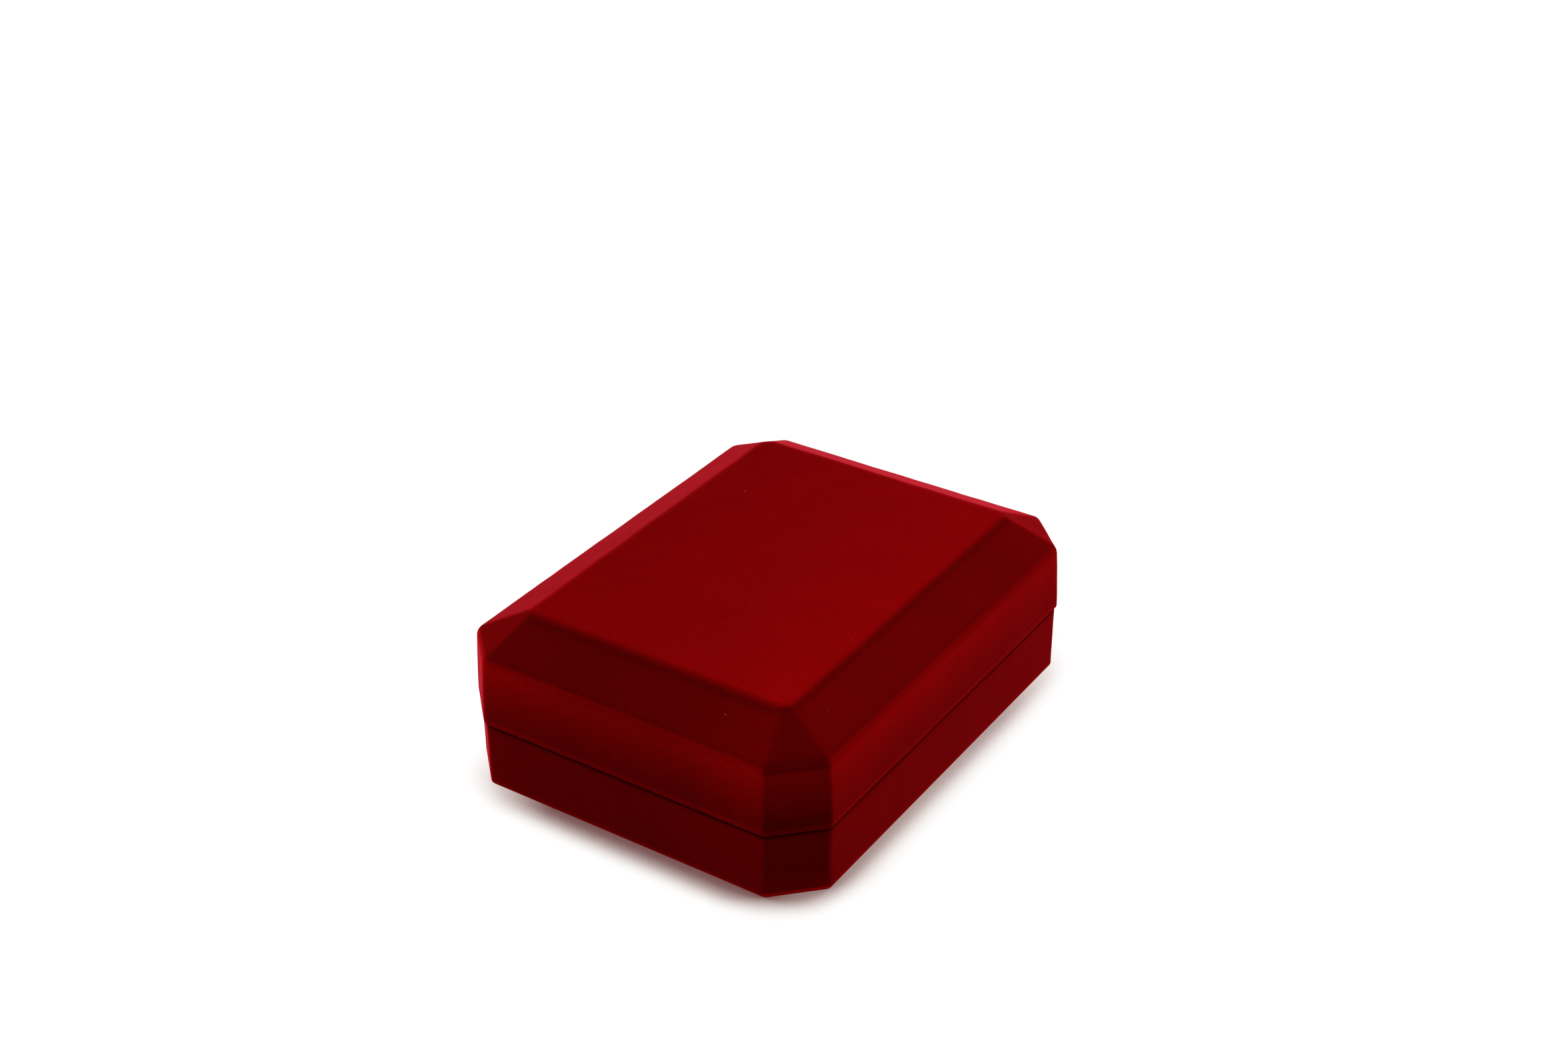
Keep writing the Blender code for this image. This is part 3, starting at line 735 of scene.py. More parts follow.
def lid_rows(sizes):
    """The lid's profile: from the middle of the roof inside, over the rim, to the middle of the flat top."""
    rim = sizes.seam_height + sizes.seam_gap / 2
    inner = sizes.wall + sizes.overhang
    shoulder, roof, roof_inset = lid_inside(sizes)
    outside = [
        (inner, rim, 0),
        (-sizes.rim_flare, rim, sizes.lip_radius),
        (sizes.draft, sizes.shoulder_height, sizes.shoulder_radius),
        (sizes.bevel_inset, sizes.height, sizes.top_radius),
        (sizes.bevel_inset + 2.4 * MM, sizes.height, 0),
    ]
    inside = [
        (roof_inset + sizes.inside_radius, roof, 0),
        (roof_inset, roof, sizes.inside_radius),
        (inner, shoulder, sizes.inside_radius),
        (inner, rim, sizes.rim_radius),
        (0, rim, 0),
    ]
    outside = spaced(filleted(outside, 6)[1:], 1.0 * MM)
    inside = spaced(filleted(inside, 6)[:-1], INSIDE_CELL)
    rows = hub_rows(inside[0], sizes.inside_radius, INSIDE_CELL, sizes)[::-1]
    rows += [(x, 1, z, sizes.inside_radius) for x, z in inside]
    push = 0.0
    for x, z in outside:
        up = min(max((z - rim) / (sizes.shoulder_height - rim), 0), 1)
        slope = min(max((x - sizes.draft) / (sizes.bevel_inset - sizes.draft), 0), 1)
        room = (sizes.corner_leg - sizes.front_trim - x * MITRE_LOSS - sizes.corner_least) / math.sqrt(2)
        push = min(sizes.corner_push * slope, max(room, 0)) if up == 1 else 0
        bow = sizes.wall_bow * 4 * up * (1 - up)
        rows.append((x - bow, 1, z, sizes.edge_radius, push, sizes.end_shift * slope))
    hub = hub_rows(outside[-1], sizes.edge_radius, INSIDE_CELL / 2, sizes)
    return rows + [(*row, push, sizes.end_shift) for row in hub]


def at_height(sizes, offset, side):
    """A height that lies below the pin's axis on side -1 and above it on side +1."""
    return sizes.seam_height + side * offset


def tall_block(name, sizes, side, spans):
    """A block given by its least and greatest X, its Y, and its heights' distances from the pin's axis."""
    (left, right), (front, rear), (one, two) = spans
    low, high = sorted((at_height(sizes, one, side), at_height(sizes, two, side)))
    return block(name, (left, front, low), (right, rear, high))


def softened(obj, radius, segments):
    """Rounds the edges of a cutter or a stamped piece."""
    bevel = obj.modifiers.new("soft_edges", "BEVEL")
    bevel.width = radius
    bevel.segments = segments
    bevel.limit_method = "ANGLE"
    bevel.angle_limit = 40 * DEGREE
    bevel.use_clamp_overlap = True
    return apply_modifiers(obj)


def leaf_plane(sizes, hinge):
    """The y of a leaf's outer and inner faces."""
    outer = sizes.length / 2 - sizes.wall - sizes.overhang - SEAT_GAP
    return outer, outer - hinge.sheet


def knuckle_radius(hinge):
    return hinge.pin_radius + hinge.clearance + hinge.sheet


def cut_hinge_seat(shell, sizes, hinge, side, seat_end):
    """Moulds a leaf's pocket inside the rear wall and notches the rim for the knuckles."""
    outer, inner = leaf_plane(sizes, hinge)
    notch = knuckle_radius(hinge) + SEAT_GAP
    start = notch + SEAT_TOP_GAP
    pocket_half = hinge.width / 2 + SEAT_GAP
    seat_half, window_half = pocket_half + SEAT_WALL, hinge.width / 2 - hinge.lip
    notch_half = hinge.width / 2 + NOTCH_GAP
    lip_face = inner - SEAT_GAP - hinge.lip
    wall_face = outer + SEAT_GAP
    cut_start = start - OVERRUN / 2
    pocket_end, window_end = hinge.reach + SEAT_GAP, hinge.reach - hinge.lip
    outside = sizes.length / 2 + OVERRUN
    tools = []
    for operation, name, half, depth, heights in (
        ("UNION", "seat", seat_half, (lip_face, wall_face + SEAT_ROOT), (start, seat_end)),
        ("DIFFERENCE", "pocket", pocket_half, (inner - SEAT_GAP, wall_face), (cut_start, pocket_end)),
        ("DIFFERENCE", "window", window_half, (lip_face - OVERRUN, outer), (cut_start, window_end)),
        ("DIFFERENCE", "notch", notch_half, (wall_face - OVERRUN, outside), (-OVERRUN, notch)),
    ):
        tools.append((operation, tall_block(name, sizes, side, ((-half, half), depth, heights))))
    softened(tools[0][1], 0.35 * MM, 3)
    combine(shell, tools)


def settle(obj, body, node):
    """The piece stands for a CAD node and moves with its body."""
    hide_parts(node)
    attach(obj, body)


# Hinge


def strip(name, path, thickness, half_width, across_steps=1):
    """A bent sheet: the path is its middle line as (y, z) points, and it runs along X."""
    sides = ([], [])
    for index, (y, z) in enumerate(path):
        before, after = path[max(index - 1, 0)], path[min(index + 1, len(path) - 1)]
        along = math.hypot(after[0] - before[0], after[1] - before[1])
        across = ((before[1] - after[1]) / along, (after[0] - before[0]) / along)
        for side, sign in zip(sides, (-1, 1)):
            side.append((y + sign * across[0] * thickness / 2, z + sign * across[1] * thickness / 2))
    xs = [half_width * (2 * step / across_steps - 1) for step in range(across_steps + 1)]
    mesh = bmesh.new()
    loops = []
    for (y_one, z_one), (y_two, z_two) in zip(*sides):
        ring = [(x, y_one, z_one) for x in xs] + [(x, y_two, z_two) for x in reversed(xs)]
        loops.append([mesh.verts.new(point) for point in ring])
    join_loops(mesh, loops)
    for loop in (loops[0], loops[-1]):
        for index in range(across_steps):
            mesh.faces.new((loop[index], loop[index + 1], loop[-index - 2], loop[-index - 1]))
    bmesh.ops.recalc_face_normals(mesh, faces=mesh.faces)
    return as_object(name, mesh)


def spring_arc(sizes, hinge):
    """The bow's radius, the y of its centre and half of its angle."""
    outer, inner = leaf_plane(sizes, hinge)
    crest = inner - hinge.spring_bulge
    sagitta = (outer + inner) / 2 - crest
    radius = (hinge.spring_seat**2 + sagitta**2) / (2 * sagitta)
    return radius, crest + radius, math.asin(hinge.spring_seat / radius)


def stamped_leaf(name, sizes, hinge, side, gaps):
    """A stamped leaf: its plate lies in the shell's pocket and its knuckles curl round the pin."""
    outer, inner = leaf_plane(sizes, hinge)
    middle, axis = (outer + inner) / 2, sizes.length / 2
    curl = hinge.pin_radius + hinge.clearance + hinge.sheet / 2
    path = [(middle, -hinge.reach), (middle, -curl - LEAF_BEND)]
    for step in range(1, 7):
        angle = step / 6 * math.pi / 2
        path.append((middle + LEAF_BEND * (1 - math.cos(angle)), -curl - LEAF_BEND * (1 - math.sin(angle))))
    for step in range(33):
        angle = -math.pi / 2 + step / 32 * (CURL + math.pi / 2)
        path.append((axis + curl * math.cos(angle), curl * math.sin(angle)))
    path = [(y, at_height(sizes, -offset, side)) for y, offset in path]
    leaf = strip(name, path, hinge.sheet, hinge.width / 2)
    radius = knuckle_radius(hinge)
    heights = (-radius - SEAT_GAP, radius + SEAT_GAP)
    depth = (inner - OVERRUN, axis + radius + OVERRUN)
    cutters = [tall_block("gap", sizes, side, (gap, depth, heights)) for gap in gaps]
    slant = math.pi / 2 - spring_arc(sizes, hinge)[2]
    slot_half = (hinge.spring_sheet / math.cos(slant) + hinge.sheet * math.tan(slant)) / 2 + SEAT_GAP
    heights = (hinge.spring_seat - slot_half, hinge.spring_seat + slot_half)
    half = hinge.spring_width / 2 + SEAT_GAP
    depth = (inner - OVERRUN, outer + OVERRUN)
    cutters.append(tall_block("slot", sizes, side, ((-half, half), depth, heights)))
    combine(leaf, [("DIFFERENCE", cutter) for cutter in cutters])
    return softened(leaf, 0.07 * MM, 2)


def hinge_pin(name, sizes, hinge):
    """A turned pin with bevelled ends."""
    half = hinge.width / 2 + SEAT_GAP
    full = half - PIN_BEVEL
    stations = [(-half, 0.25), (-half, 0.7), (-full, 1.0)]
    stations += [(-full + full * 2 * step / 12, 1.0) for step in range(1, 12)]
    stations += [(full, 1.0), (half, 0.7), (half, 0.25)]
    middle_y, middle_z = sizes.length / 2, sizes.seam_height
    rings = []
    for x, part in stations:
        radius = hinge.pin_radius * part
        angles = [2 * math.pi * index / PIN_SIDES for index in range(PIN_SIDES)]
        circle = [(radius * math.cos(angle), radius * math.sin(angle)) for angle in angles]
        rings.append([(x, middle_y + y, middle_z + z) for y, z in circle])
    return ring_body(name, rings)


def snap_spring(name, sizes, hinge):
    """The bowed steel band whose ends sit in slots of the two leaves."""
    radius, centre, half_angle = spring_arc(sizes, hinge)
    path = []
    for step in range(49):
        angle = half_angle * (step / 24 - 1)
        path.append((centre - radius * math.cos(angle), sizes.seam_height + radius * math.sin(angle)))
    spring = strip(name, path, hinge.spring_sheet, hinge.spring_width / 2, 6)
    return softened(spring, 0.08 * MM, 2)


# Pad and cushion


def cushion_plan(sizes, cushions):
    """The pad's plan: the hollow's, a gap smaller, and cut off in front of the spring."""
    plan = inset_plan(case_plan(sizes), sizes.wall + sizes.overhang + cushions.gap)
    leg = plan.rear_leg - (plan.rear - cushions.rear)
    return plan._replace(rear=cushions.rear, rear_leg=max(leg, cushions.rear_leg))


def crown_rows(plan, inset, edge, crown, gap):
    """Rows over a crowned face, from its middle out to just inside its edge."""
    half = plan.half_width - inset
    count = math.ceil(half / gap)
    rows = []
    for step in range(count):
        part = step / count
        rows.append((inset, part, edge + crown * (1 - part**3), SOFT_EDGE))
    return rows


def cover_rows(plan, edge, hem, crown, cloth, gap):
    """Cloth over a crowned face and down its sides, open at the back."""
    up = 1 if edge > hem else -1
    bend = filleted([(WRAP_RADIUS + cloth, edge, 0), (0, edge, WRAP_RADIUS), (0, hem, 0)], 7)[1:]
    lining = edge - up * cloth
    outside = spaced(bend, gap)
    inside = spaced([(cloth, hem), (cloth, lining)], gap)
    rows = crown_rows(plan, WRAP_RADIUS, edge, up * crown, gap)
    rows += [(x, 1, z, SOFT_EDGE) for x, z in outside + inside]
    return rows + crown_rows(plan, cloth, lining, up * crown, gap)[::-1]


def slab_rows(plan, back, edge, crown, radius):
    """A slab with a flat back, a crowned face and soft edges."""
    up = 1 if edge > back else -1
    inner = radius * 1.5
    bend = [(inner, back, 0), (0, back, radius * 0.6), (0, edge, radius), (inner, edge, 0)]
    bend = spaced(filleted(bend, 5), SOFT_CELL)
    rows = crown_rows(plan, bend[0][0], back, 0.0, SOFT_CELL)
    rows += [(x, 1, z, SOFT_EDGE) for x, z in bend]
    return rows + crown_rows(plan, bend[-1][0], edge, up * crown, SOFT_CELL)[::-1]


def slit_cutter(place, levels):
    """A cutter with rounded ends whose half width follows (height, half width) levels."""
    middle_x, middle_y, turn, long = place
    reach = long / 2 - 0.4 * MM
    rings = []
    for height, half in levels:
        ring = []
        for end, first in ((1, -0.5), (-1, 0.5)):
            for step in range(9):
                along, across = turned(half, 0, (step / 8 + first) * math.pi)
                x, y = turned(end * reach + along, across, turn)
                ring.append((middle_x + x, middle_y + y, height))
        rings.append(ring)
    return ring_body("slit", rings)


def cut_slits(obj, cushions, levels):
    """Cuts the two slits for chains and the two for earrings."""
    tools = []
    for side in (-1, 1):
        chain = (side * 13 * MM, cushions.rear - 11 * MM, side * 35 * DEGREE, cushions.chain_slit)
        earring = (side * 9 * MM, cushions.rear - 36 * MM, 0.0, cushions.earring_slit)
        tools += [("DIFFERENCE", slit_cutter(place, levels)) for place in (chain, earring)]
    combine(obj, tools)


def build_pad(sizes, cushions, look):
    gap, cloth = cushions.gap, cushions.cloth
    plan = cushion_plan(sizes, cushions)
    core = inset_plan(plan, cloth + gap)
    sponge_bottom = sizes.floor + gap
    sponge_top = sponge_bottom + cushions.sponge
    board_top = sponge_top + gap + cushions.card
    velvet_edge = board_top + gap + cloth

    foam = sponge_foam("grey_foam", (0.09, 0.09, 0.1), 3.0)
    sponge_plan = inset_plan(core, cushions.sponge_gap)
    rows = slab_rows(sponge_plan, sponge_bottom, sponge_top, 0.0, 0.5 * MM)
    sponge = sweep("pad_foam", rows, sponge_plan, foam, seed=8.0, **SOFT_STEPS)
    half = cushions.slit / 2
    cut_slits(sponge, cushions, [(sponge_top - 2.0 * MM, half * 0.8), (sponge_top + OVERRUN, half)])
    finish_piece(sponge, foam, 45 * DEGREE)
    settle(sponge, "base", "pad_sponge")

    pile = velvet("pad_pile", look, 21.0)
    hem = board_top - cushions.skirt
    rows = cover_rows(plan, velvet_edge, hem, cushions.pad_crown, cloth, 1.2 * MM)
    cover = sweep("pad_cover", rows, plan, pile, side_steps=60, waviness=0.05 * MM, seed=9.0)
    top = velvet_edge + cushions.pad_crown
    neck, fold, fold_start = half * 0.75, 0.42 * MM, top - 0.62 * MM
    levels = [(velvet_edge - cloth - OVERRUN / 2, neck), (velvet_edge - cloth, neck)]
    for step in range(1, 9):
        part = step / 8
        levels.append((fold_start + part * 0.75 * MM, neck + fold * (1 - math.sqrt(1 - part**2))))
    levels.append((top + OVERRUN / 2, neck + 0.46 * MM))
    cut_slits(cover, cushions, levels)
    finish_piece(cover, pile, 60 * DEGREE)
    settle(cover, "base", "pad_velvet")
    paint_node("pad_board", card_board("grey_card", (0.36, 0.31, 0.25), 4.0))


def build_lid_cushion(sizes, cushions):
    gap, cloth = cushions.gap, cushions.cloth
    plan = cushion_plan(sizes, cushions)
    core = inset_plan(plan, cloth + gap)
    card_top = lid_inside(sizes)[0] - gap
    sponge_top = card_top - cushions.card - gap
    sponge_edge = sponge_top - cushions.lid_sponge
    satin_edge = sponge_edge - gap - cloth

    foam = sponge_foam("white_foam", (0.72, 0.68, 0.58), 5.0)
    rows = slab_rows(core, sponge_top, sponge_edge, cushions.lid_crown, 0.6 * MM)
    sponge = sweep("lid_foam", rows, core, foam, seed=12.0, **SOFT_STEPS)
    finish_piece(sponge, foam, 45 * DEGREE)
    settle(sponge, "lid", "lid_sponge")

    silk = satin("ivory_satin", (0.83, 0.79, 0.7), 6.0)
    cover = gathered_cover("satin_cover", plan, card_top, satin_edge, cushions, silk)
    finish_piece(cover, silk, 70 * DEGREE)
    settle(cover, "lid", "lid_satin")
    paint_node("lid_card", card_board("lid_card_board", (0.42, 0.38, 0.31), 14.0))


def gather(cover, hem, edge, cushions):
    """Lets the cloth buckle: its hem is held, and the rest is held softly, which keeps the folds low."""
    start = points_of(cover.data)
    from_hem = np.clip((hem * CLOTH_SCALE - start[:, 2]) / (hem - edge) / CLOTH_SCALE, 0, 1)
    held = cover.vertex_groups.new(name="held")
    for index, share_down in enumerate(from_hem):
        held.add([index], 1.0 if share_down < 0.35 else cushions.hold, "REPLACE")
    cloth = cover.modifiers.new("satin", "CLOTH")
    settings = cloth.settings
    settings.quality = 6
    settings.mass = 0.2
    settings.tension_stiffness = settings.compression_stiffness = 25
    settings.shear_stiffness = 8
    settings.bending_stiffness = 0.4
    settings.vertex_group_mass = "held"
    settings.pin_stiffness = 1.0
    settings.shrink_min = settings.shrink_max = -cushions.fullness
    settings.use_pressure = True
    settings.uniform_pressure_force = cushions.puff
    settings.effector_weights.gravity = 0
    cloth.collision_settings.use_collision = False
    cloth.point_cache.frame_start, cloth.point_cache.frame_end = 1, CLOTH_FRAMES
    for frame_number in range(1, CLOTH_FRAMES + 1):
        bpy.context.scene.frame_set(frame_number)
    apply_modifiers(cover)
    bpy.context.scene.frame_set(1)
    moved = points_of(cover.data) - start
    far = np.linalg.norm(moved, axis=1, keepdims=True)
    points = start + moved * np.minimum(1, CLOTH_REACH / np.maximum(far, 1e-9))
    cover.data.vertices.foreach_set("co", np.ascontiguousarray(points, np.float32).ravel())
    cover.data.update()


def gathered_cover(name, plan, hem, edge, cushions, material):
    """Satin drawn over the sponge: the cloth is a little too large, so it buckles into soft folds."""
    rows = slab_rows(plan, hem, edge, cushions.lid_crown, SOFT_CELL)
    cover = sweep(name, rows, plan, material, **SOFT_STEPS)
    cover.data.transform(Matrix.Scale(CLOTH_SCALE, 4))
    remesh = cover.modifiers.new("even_cells", "REMESH")
    remesh.mode = "VOXEL"
    remesh.voxel_size = 11 * MM
    apply_modifiers(cover)
    gather(cover, hem, edge, cushions)
    cover.data.transform(Matrix.Scale(1 / CLOTH_SCALE, 4))
    remove_back(cover, hem)
    smooth = cover.modifiers.new("smooth", "SUBSURF")
    smooth.levels = smooth.render_levels = 1
    apply_modifiers(cover)
    wall = cover.modifiers.new("cloth", "SOLIDIFY")
    wall.thickness = cushions.cloth
    wall.offset = -1
    return apply_modifiers(cover)


def remove_back(obj, height):
    """Removes the faces that look up at a height, which leaves an open cover."""
    mesh = bmesh.new()
    mesh.from_mesh(obj.data)
    upward = [face for face in mesh.faces if face.normal.z > 0.7]
    back = [face for face in upward if face.calc_center_median().z > height - 0.8 * MM]
    bmesh.ops.delete(mesh, geom=back, context="FACES")
    mesh.to_mesh(obj.data)
    mesh.free()


def paint_node(node, material):
    """Gives a carried-over CAD node its finish."""
    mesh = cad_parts[node].data
    mesh.materials.clear()
    mesh.materials.append(material)


# Finishes


def new_finish(name):
    """A material, its graph, and the coordinates of the object that wears it."""
    material = bpy.data.materials.new(name)
    material.use_nodes = True
    graph = Graph(material.node_tree)
    return material, graph, graph.add("ShaderNodeTexCoord", out="Object")


def end_material(graph, shader):
    graph.add("ShaderNodeOutputMaterial", None, {"Surface": shader})


def inside_plan(graph, axes, plan):
    """How far a place lies inside the eight-sided plan."""
    across, along = graph.math("ABSOLUTE", axes), graph.math("ABSOLUTE", axes.other("Y"))
    sides = graph.math("MINIMUM", plan.half_width - across, plan.rear - along)
    cuts = (plan.half_width + plan.rear - plan.rear_leg - across - along) * math.sqrt(0.5)
    return graph.math("MINIMUM", sides, cuts)


def lid_painted_light(graph, axes, normal, sizes):
    """Painted light and shade on the lid's pile colour, standing in for how the lamps fall on the lid.

    The flat top is painted darker towards its rear and left and lighter than the bevels. The front bevel, the
    corner at the front right and the low walls are painted darker, and the walls lighter towards the
    shoulder, on the lip and beside the front wall's upright edges. A painted line beside the flat top's edge
    is dark on the front and right and light on the left and rear.
    """
    across, along, height = graph.math("ABSOLUTE", axes), axes.other("Y"), axes.other("Z")
    level, ahead = normal.other("Z"), 0 - normal.other("Y")
    towards = normal + ahead
    upright = graph.smooth_step(graph.math("ABSOLUTE", level), 0.86, 0.5)
    rim, shoulder = sizes.seam_height + sizes.seam_gap / 2, sizes.shoulder_height
    shoulder_band_height = shoulder - 0.3 * MM

    # Painted light: the flat top lighter towards the right and front, and lighter than the bevels.
    flat = graph.math("POWER", graph.limit(level), 4)
    painted_top_light = (axes * 16.0 - along * 7.0) * flat + graph.smooth_step(level, 0.89, 0.98) * 0.22 + 1
    # Painted light: the walls lighter towards the shoulder, with a painted highlight on the lip above the
    # seam.
    up = graph.limit((height - rim) / (shoulder - rim - 1.2 * MM))
    lip = graph.band(height, rim + 0.2 * MM, rim + 0.6 * MM, rim + 0.9 * MM, rim + 1.4 * MM)
    wall = graph.math("POWER", up, 1.5) * 1.5 + lip * 0.5 + 0.7

    # Painted light on the right wall, lighter at its front and darker at its rear, and beside the front
    # wall's upright edges; painted shade on the front bevel, less near its ends.
    rearward = graph.smooth_step(along, -20 * MM, 45 * MM)
    right = graph.limit(normal) * upright * (0.16 - rearward * 0.3) + 0.99
    at_ends = graph.smooth_step(across, 8 * MM, 26 * MM)
    ends = graph.smooth_step(ahead, *WALL_FACING) * at_ends * 0.24
    front = (1 - upright) * graph.smooth_step(ahead, 0.02, 0.3) * (at_ends * 0.1 - 0.2)

    # Painted shade on the front right corner, deepest low on it, and a painted dark band along the shoulder
    # near it.
    low = graph.smooth_step(height, rim + 4 * MM, rim + 1.5 * MM) * 0.14 + 0.28
    fold = graph.band(height, shoulder_band_height - 1.3 * MM, shoulder_band_height - 0.2 * MM, shoulder_band_height + 0.2 * MM, shoulder_band_height + 1.1 * MM)
    corner = graph.smooth_step(towards, *CUT_FACING) * low + graph.smooth_step(towards, 0.7, 1.2) * fold * 0.3

    # A painted line beside the flat top's edge: painted shade on the front and right, painted highlight on
    # the left and rear.
    inside = inside_plan(graph, axes, case_plan(sizes))
    edge = sizes.bevel_inset - 0.8 * MM
    line = graph.band(inside, edge - 1.1 * MM, edge, edge, edge + 1.0 * MM)
    painted_edge_line = graph.smooth_step(towards, 0.05, 0.35) * -0.28 + graph.smooth_step(towards, -0.05, -0.35) * 0.3
    lit = (painted_top_light + upright * (wall - painted_top_light)) * right * (ends + front + 1)
    return lit * (1 - corner) * (line * painted_edge_line + 1)


def base_painted_light(graph, axes, normal, sizes):
    """Painted light and shade on the base's pile colour, standing in for how the lamps fall on the base.

    It is painted darker at the front right corner and under the lid's rim, and lighter at the foot, low on
    the walls, at the right end of the front wall and at the front end of the right wall.
    """
    rim, height = sizes.seam_height - sizes.seam_gap / 2, axes.other("Z")
    ahead = 0 - normal.other("Y")
    # The front right corner takes painted shade overall and a stronger painted highlight at its foot.
    cut = graph.smooth_step(normal + ahead, *CUT_FACING)
    # Painted shade under the lid's rim, where the lid's overhang hides the light.
    under = graph.smooth_step(height, rim - 0.9 * MM, rim - 0.2 * MM) * 0.45
    # Painted highlight along the foot and painted light low on the walls.
    foot = graph.smooth_step(height, 1.2 * MM, 0.4 * MM) * (cut * 3 + 1.3)
    low = graph.smooth_step(height, 5 * MM, 1.5 * MM) * (cut * 0.4 + 0.08)
    # Painted light at the right end of the front wall and on the right wall, fading to painted shade towards
    # its rear.
    front = graph.smooth_step(ahead, *WALL_FACING) * graph.smooth_step(axes, 0, 24 * MM) * 0.24
    rearward = graph.smooth_step(axes.other("Y"), -40 * MM, 40 * MM)
    right = graph.smooth_step(normal, *WALL_FACING) * (0.14 - rearward * 0.24)
    return (1 - cut * 0.1) * (1 - under) * (foot + low + front + right + 0.85)


def velvet(name, look, seed, painted_light=None, sizes=None):
    """Short upright pile: painted light and shade from the shell's shading function, soft patches, fine
    grain, specks of dust, a fibre sheen and a pale pink painted sheen at grazing angles.
    """
    material, graph, place = new_finish(name)
    patches = graph.noise(place, 75.0, 3.0, 0.55, seed)
    clouds = graph.noise(place, 28.0, 2.0, 0.5, seed + 3)
    grain = graph.noise(place, 2400.0, 2.0, 0.6, seed + 7)
    depth = (patches - 0.5) * 0.3 + (clouds - 0.5) * 0.35 + (grain - 0.5) * 0.9 + 1
    # The pile's colour takes painted light and shade here, lighter or darker by place and facing as the lamps
    # would light it.
    if painted_light:
        depth = painted_light(graph, graph.axes(place), graph.axes(place.other("Normal")), sizes) * depth
    lint = graph.specks(place, 170.0, 0.02, 0.008, 0.7)
    dust = graph.specks(place, 420.0, 0.04, 0.015, 0.62)
    pile = graph.scaled(tuple(look.pile), depth)
    shader = graph.add(
        "ShaderNodeBsdfPrincipled",
        None,
        {
            "Base Color": graph.mix_colours(lint * 0.8 + dust * 0.22, pile, (*look.lint, 1)),
            "Roughness": 0.7,
            "Specular IOR Level": look.gloss,
            "Sheen Weight": look.sheen_weight,
            "Sheen Roughness": look.sheen_roughness,
            "Sheen Tint": (*look.sheen, 1),
            "Normal": graph.bump(0.5, 0.07 * MM, grain),
        },
    )
    # Painted sheen: towards grazing angles the pile mixes into a pale pink diffuse. This is partly loose
    # fibres at the outline and partly a painted glow of light through them.
    grazing = graph.add("ShaderNodeLayerWeight", None, {"Blend": 0.5}, out="Facing")
    fuzz_and_sheen = graph.add("ShaderNodeBsdfDiffuse", None, {"Color": (*look.fuzz_and_sheen, 1)})
    share_of_fuzz_and_sheen = graph.math("POWER", grazing, 7) * look.fuzz_and_sheen_share
    end_material(graph, graph.add("ShaderNodeMixShader", None, {0: share_of_fuzz_and_sheen, 1: shader, 2: fuzz_and_sheen}))
    return material


def toned(material, graph, tone, level, sockets):
    """Ends a finish whose colour is a tone times a level."""
    sockets = {"Base Color": graph.scaled(tone, level), **sockets}
    end_material(graph, graph.add("ShaderNodeBsdfPrincipled", None, sockets))
    return material


def steel(name, tone, roughness, seed):
    """Rolled and stamped sheet: fine drawing lines along X, a little wear and dulling."""
    material, graph, place = new_finish(name)
    lines = graph.streaks(place, (60.0, 2600.0, 2600.0), 2.0, 0.6, seed)
    dull = graph.noise(place, 260.0, 4.0, 0.6, seed + 2)
    sockets = {
        "Metallic": 1.0,
        "Roughness": (dull - 0.5) * 0.18 + (lines - 0.5) * 0.12 + roughness,
        "Normal": graph.bump(0.15, 0.02 * MM, lines),
    }
    return toned(material, graph, tone, (lines - 0.5) * 0.25 + (dull - 0.5) * 0.3 + 1, sockets)


def sponge_foam(name, tone, seed):
    """Open-cell foam: small round pores of two sizes, with painted shade darkening each pore towards its
    middle.
    """
    material, graph, place = new_finish(name)
    large, small = (graph.math("MINIMUM", graph.cells(place, scale) * 1.6, 1) for scale in (1500.0, 3400.0))
    depth = large * 0.6 + small * 0.4
    patches = graph.noise(place, 90.0, 2.0, 0.5, seed)
    normal = graph.bump(0.8, 0.15 * MM, depth)
    sockets = {"Roughness": 0.95, "Specular IOR Level": 0.2, "Normal": normal}
    # Painted shade: the colour follows the pores' depth and is darker in each pore.
    return toned(material, graph, tone, depth * 0.6 + (patches - 0.5) * 0.2 + 0.55, sockets)


def card_board(name, tone, seed):
    """Grey board: pulp clouds and short fibres."""
    material, graph, place = new_finish(name)
    pulp = graph.noise(place, 320.0, 4.0, 0.65, seed)
    fibres = graph.streaks(place, (350.0, 1500.0, 1500.0), 3.0, 0.7, seed + 1)
    normal = graph.bump(0.3, 0.05 * MM, fibres)
    sockets = {"Roughness": 0.9, "Specular IOR Level": 0.25, "Normal": normal}
    return toned(material, graph, tone, (pulp - 0.5) * 0.5 + (fibres - 0.5) * 0.5 + 1, sockets)


def satin(name, tone, seed):
    """Satin: long floats along X that shine, with a faint crosswise weave."""
    material, graph, place = new_finish(name)
    threads = graph.streaks(place, (700.0, 5200.0, 5200.0), 2.0, 0.5, seed)
    slub = graph.streaks(place, (60.0, 1400.0, 1400.0), 2.0, 0.5, seed + 4)
    sockets = {
        "Roughness": (threads - 0.5) * 0.2 + 0.38,
        "Specular IOR Level": 0.6,
        "Sheen Weight": 0.25,
        "Sheen Roughness": 0.35,
        "Sheen Tint": (1.0, 0.96, 0.9, 1),
        "Normal": graph.bump(0.25, 0.04 * MM, threads * 0.6 + slub * 0.4),
    }
    return toned(material, graph, tone, (threads - 0.5) * 0.12 + (slub - 0.5) * 0.1 + 1, sockets)


# Stage


def seen_directly(graph):
    """1 for a ray from the camera, a mirror or glass, and 0 for a ray that lights the case."""
    path = graph.add("ShaderNodeLightPath")
    return graph.limit(path + path.other("Is Glossy Ray") + path.other("Is Transmission Ray"))


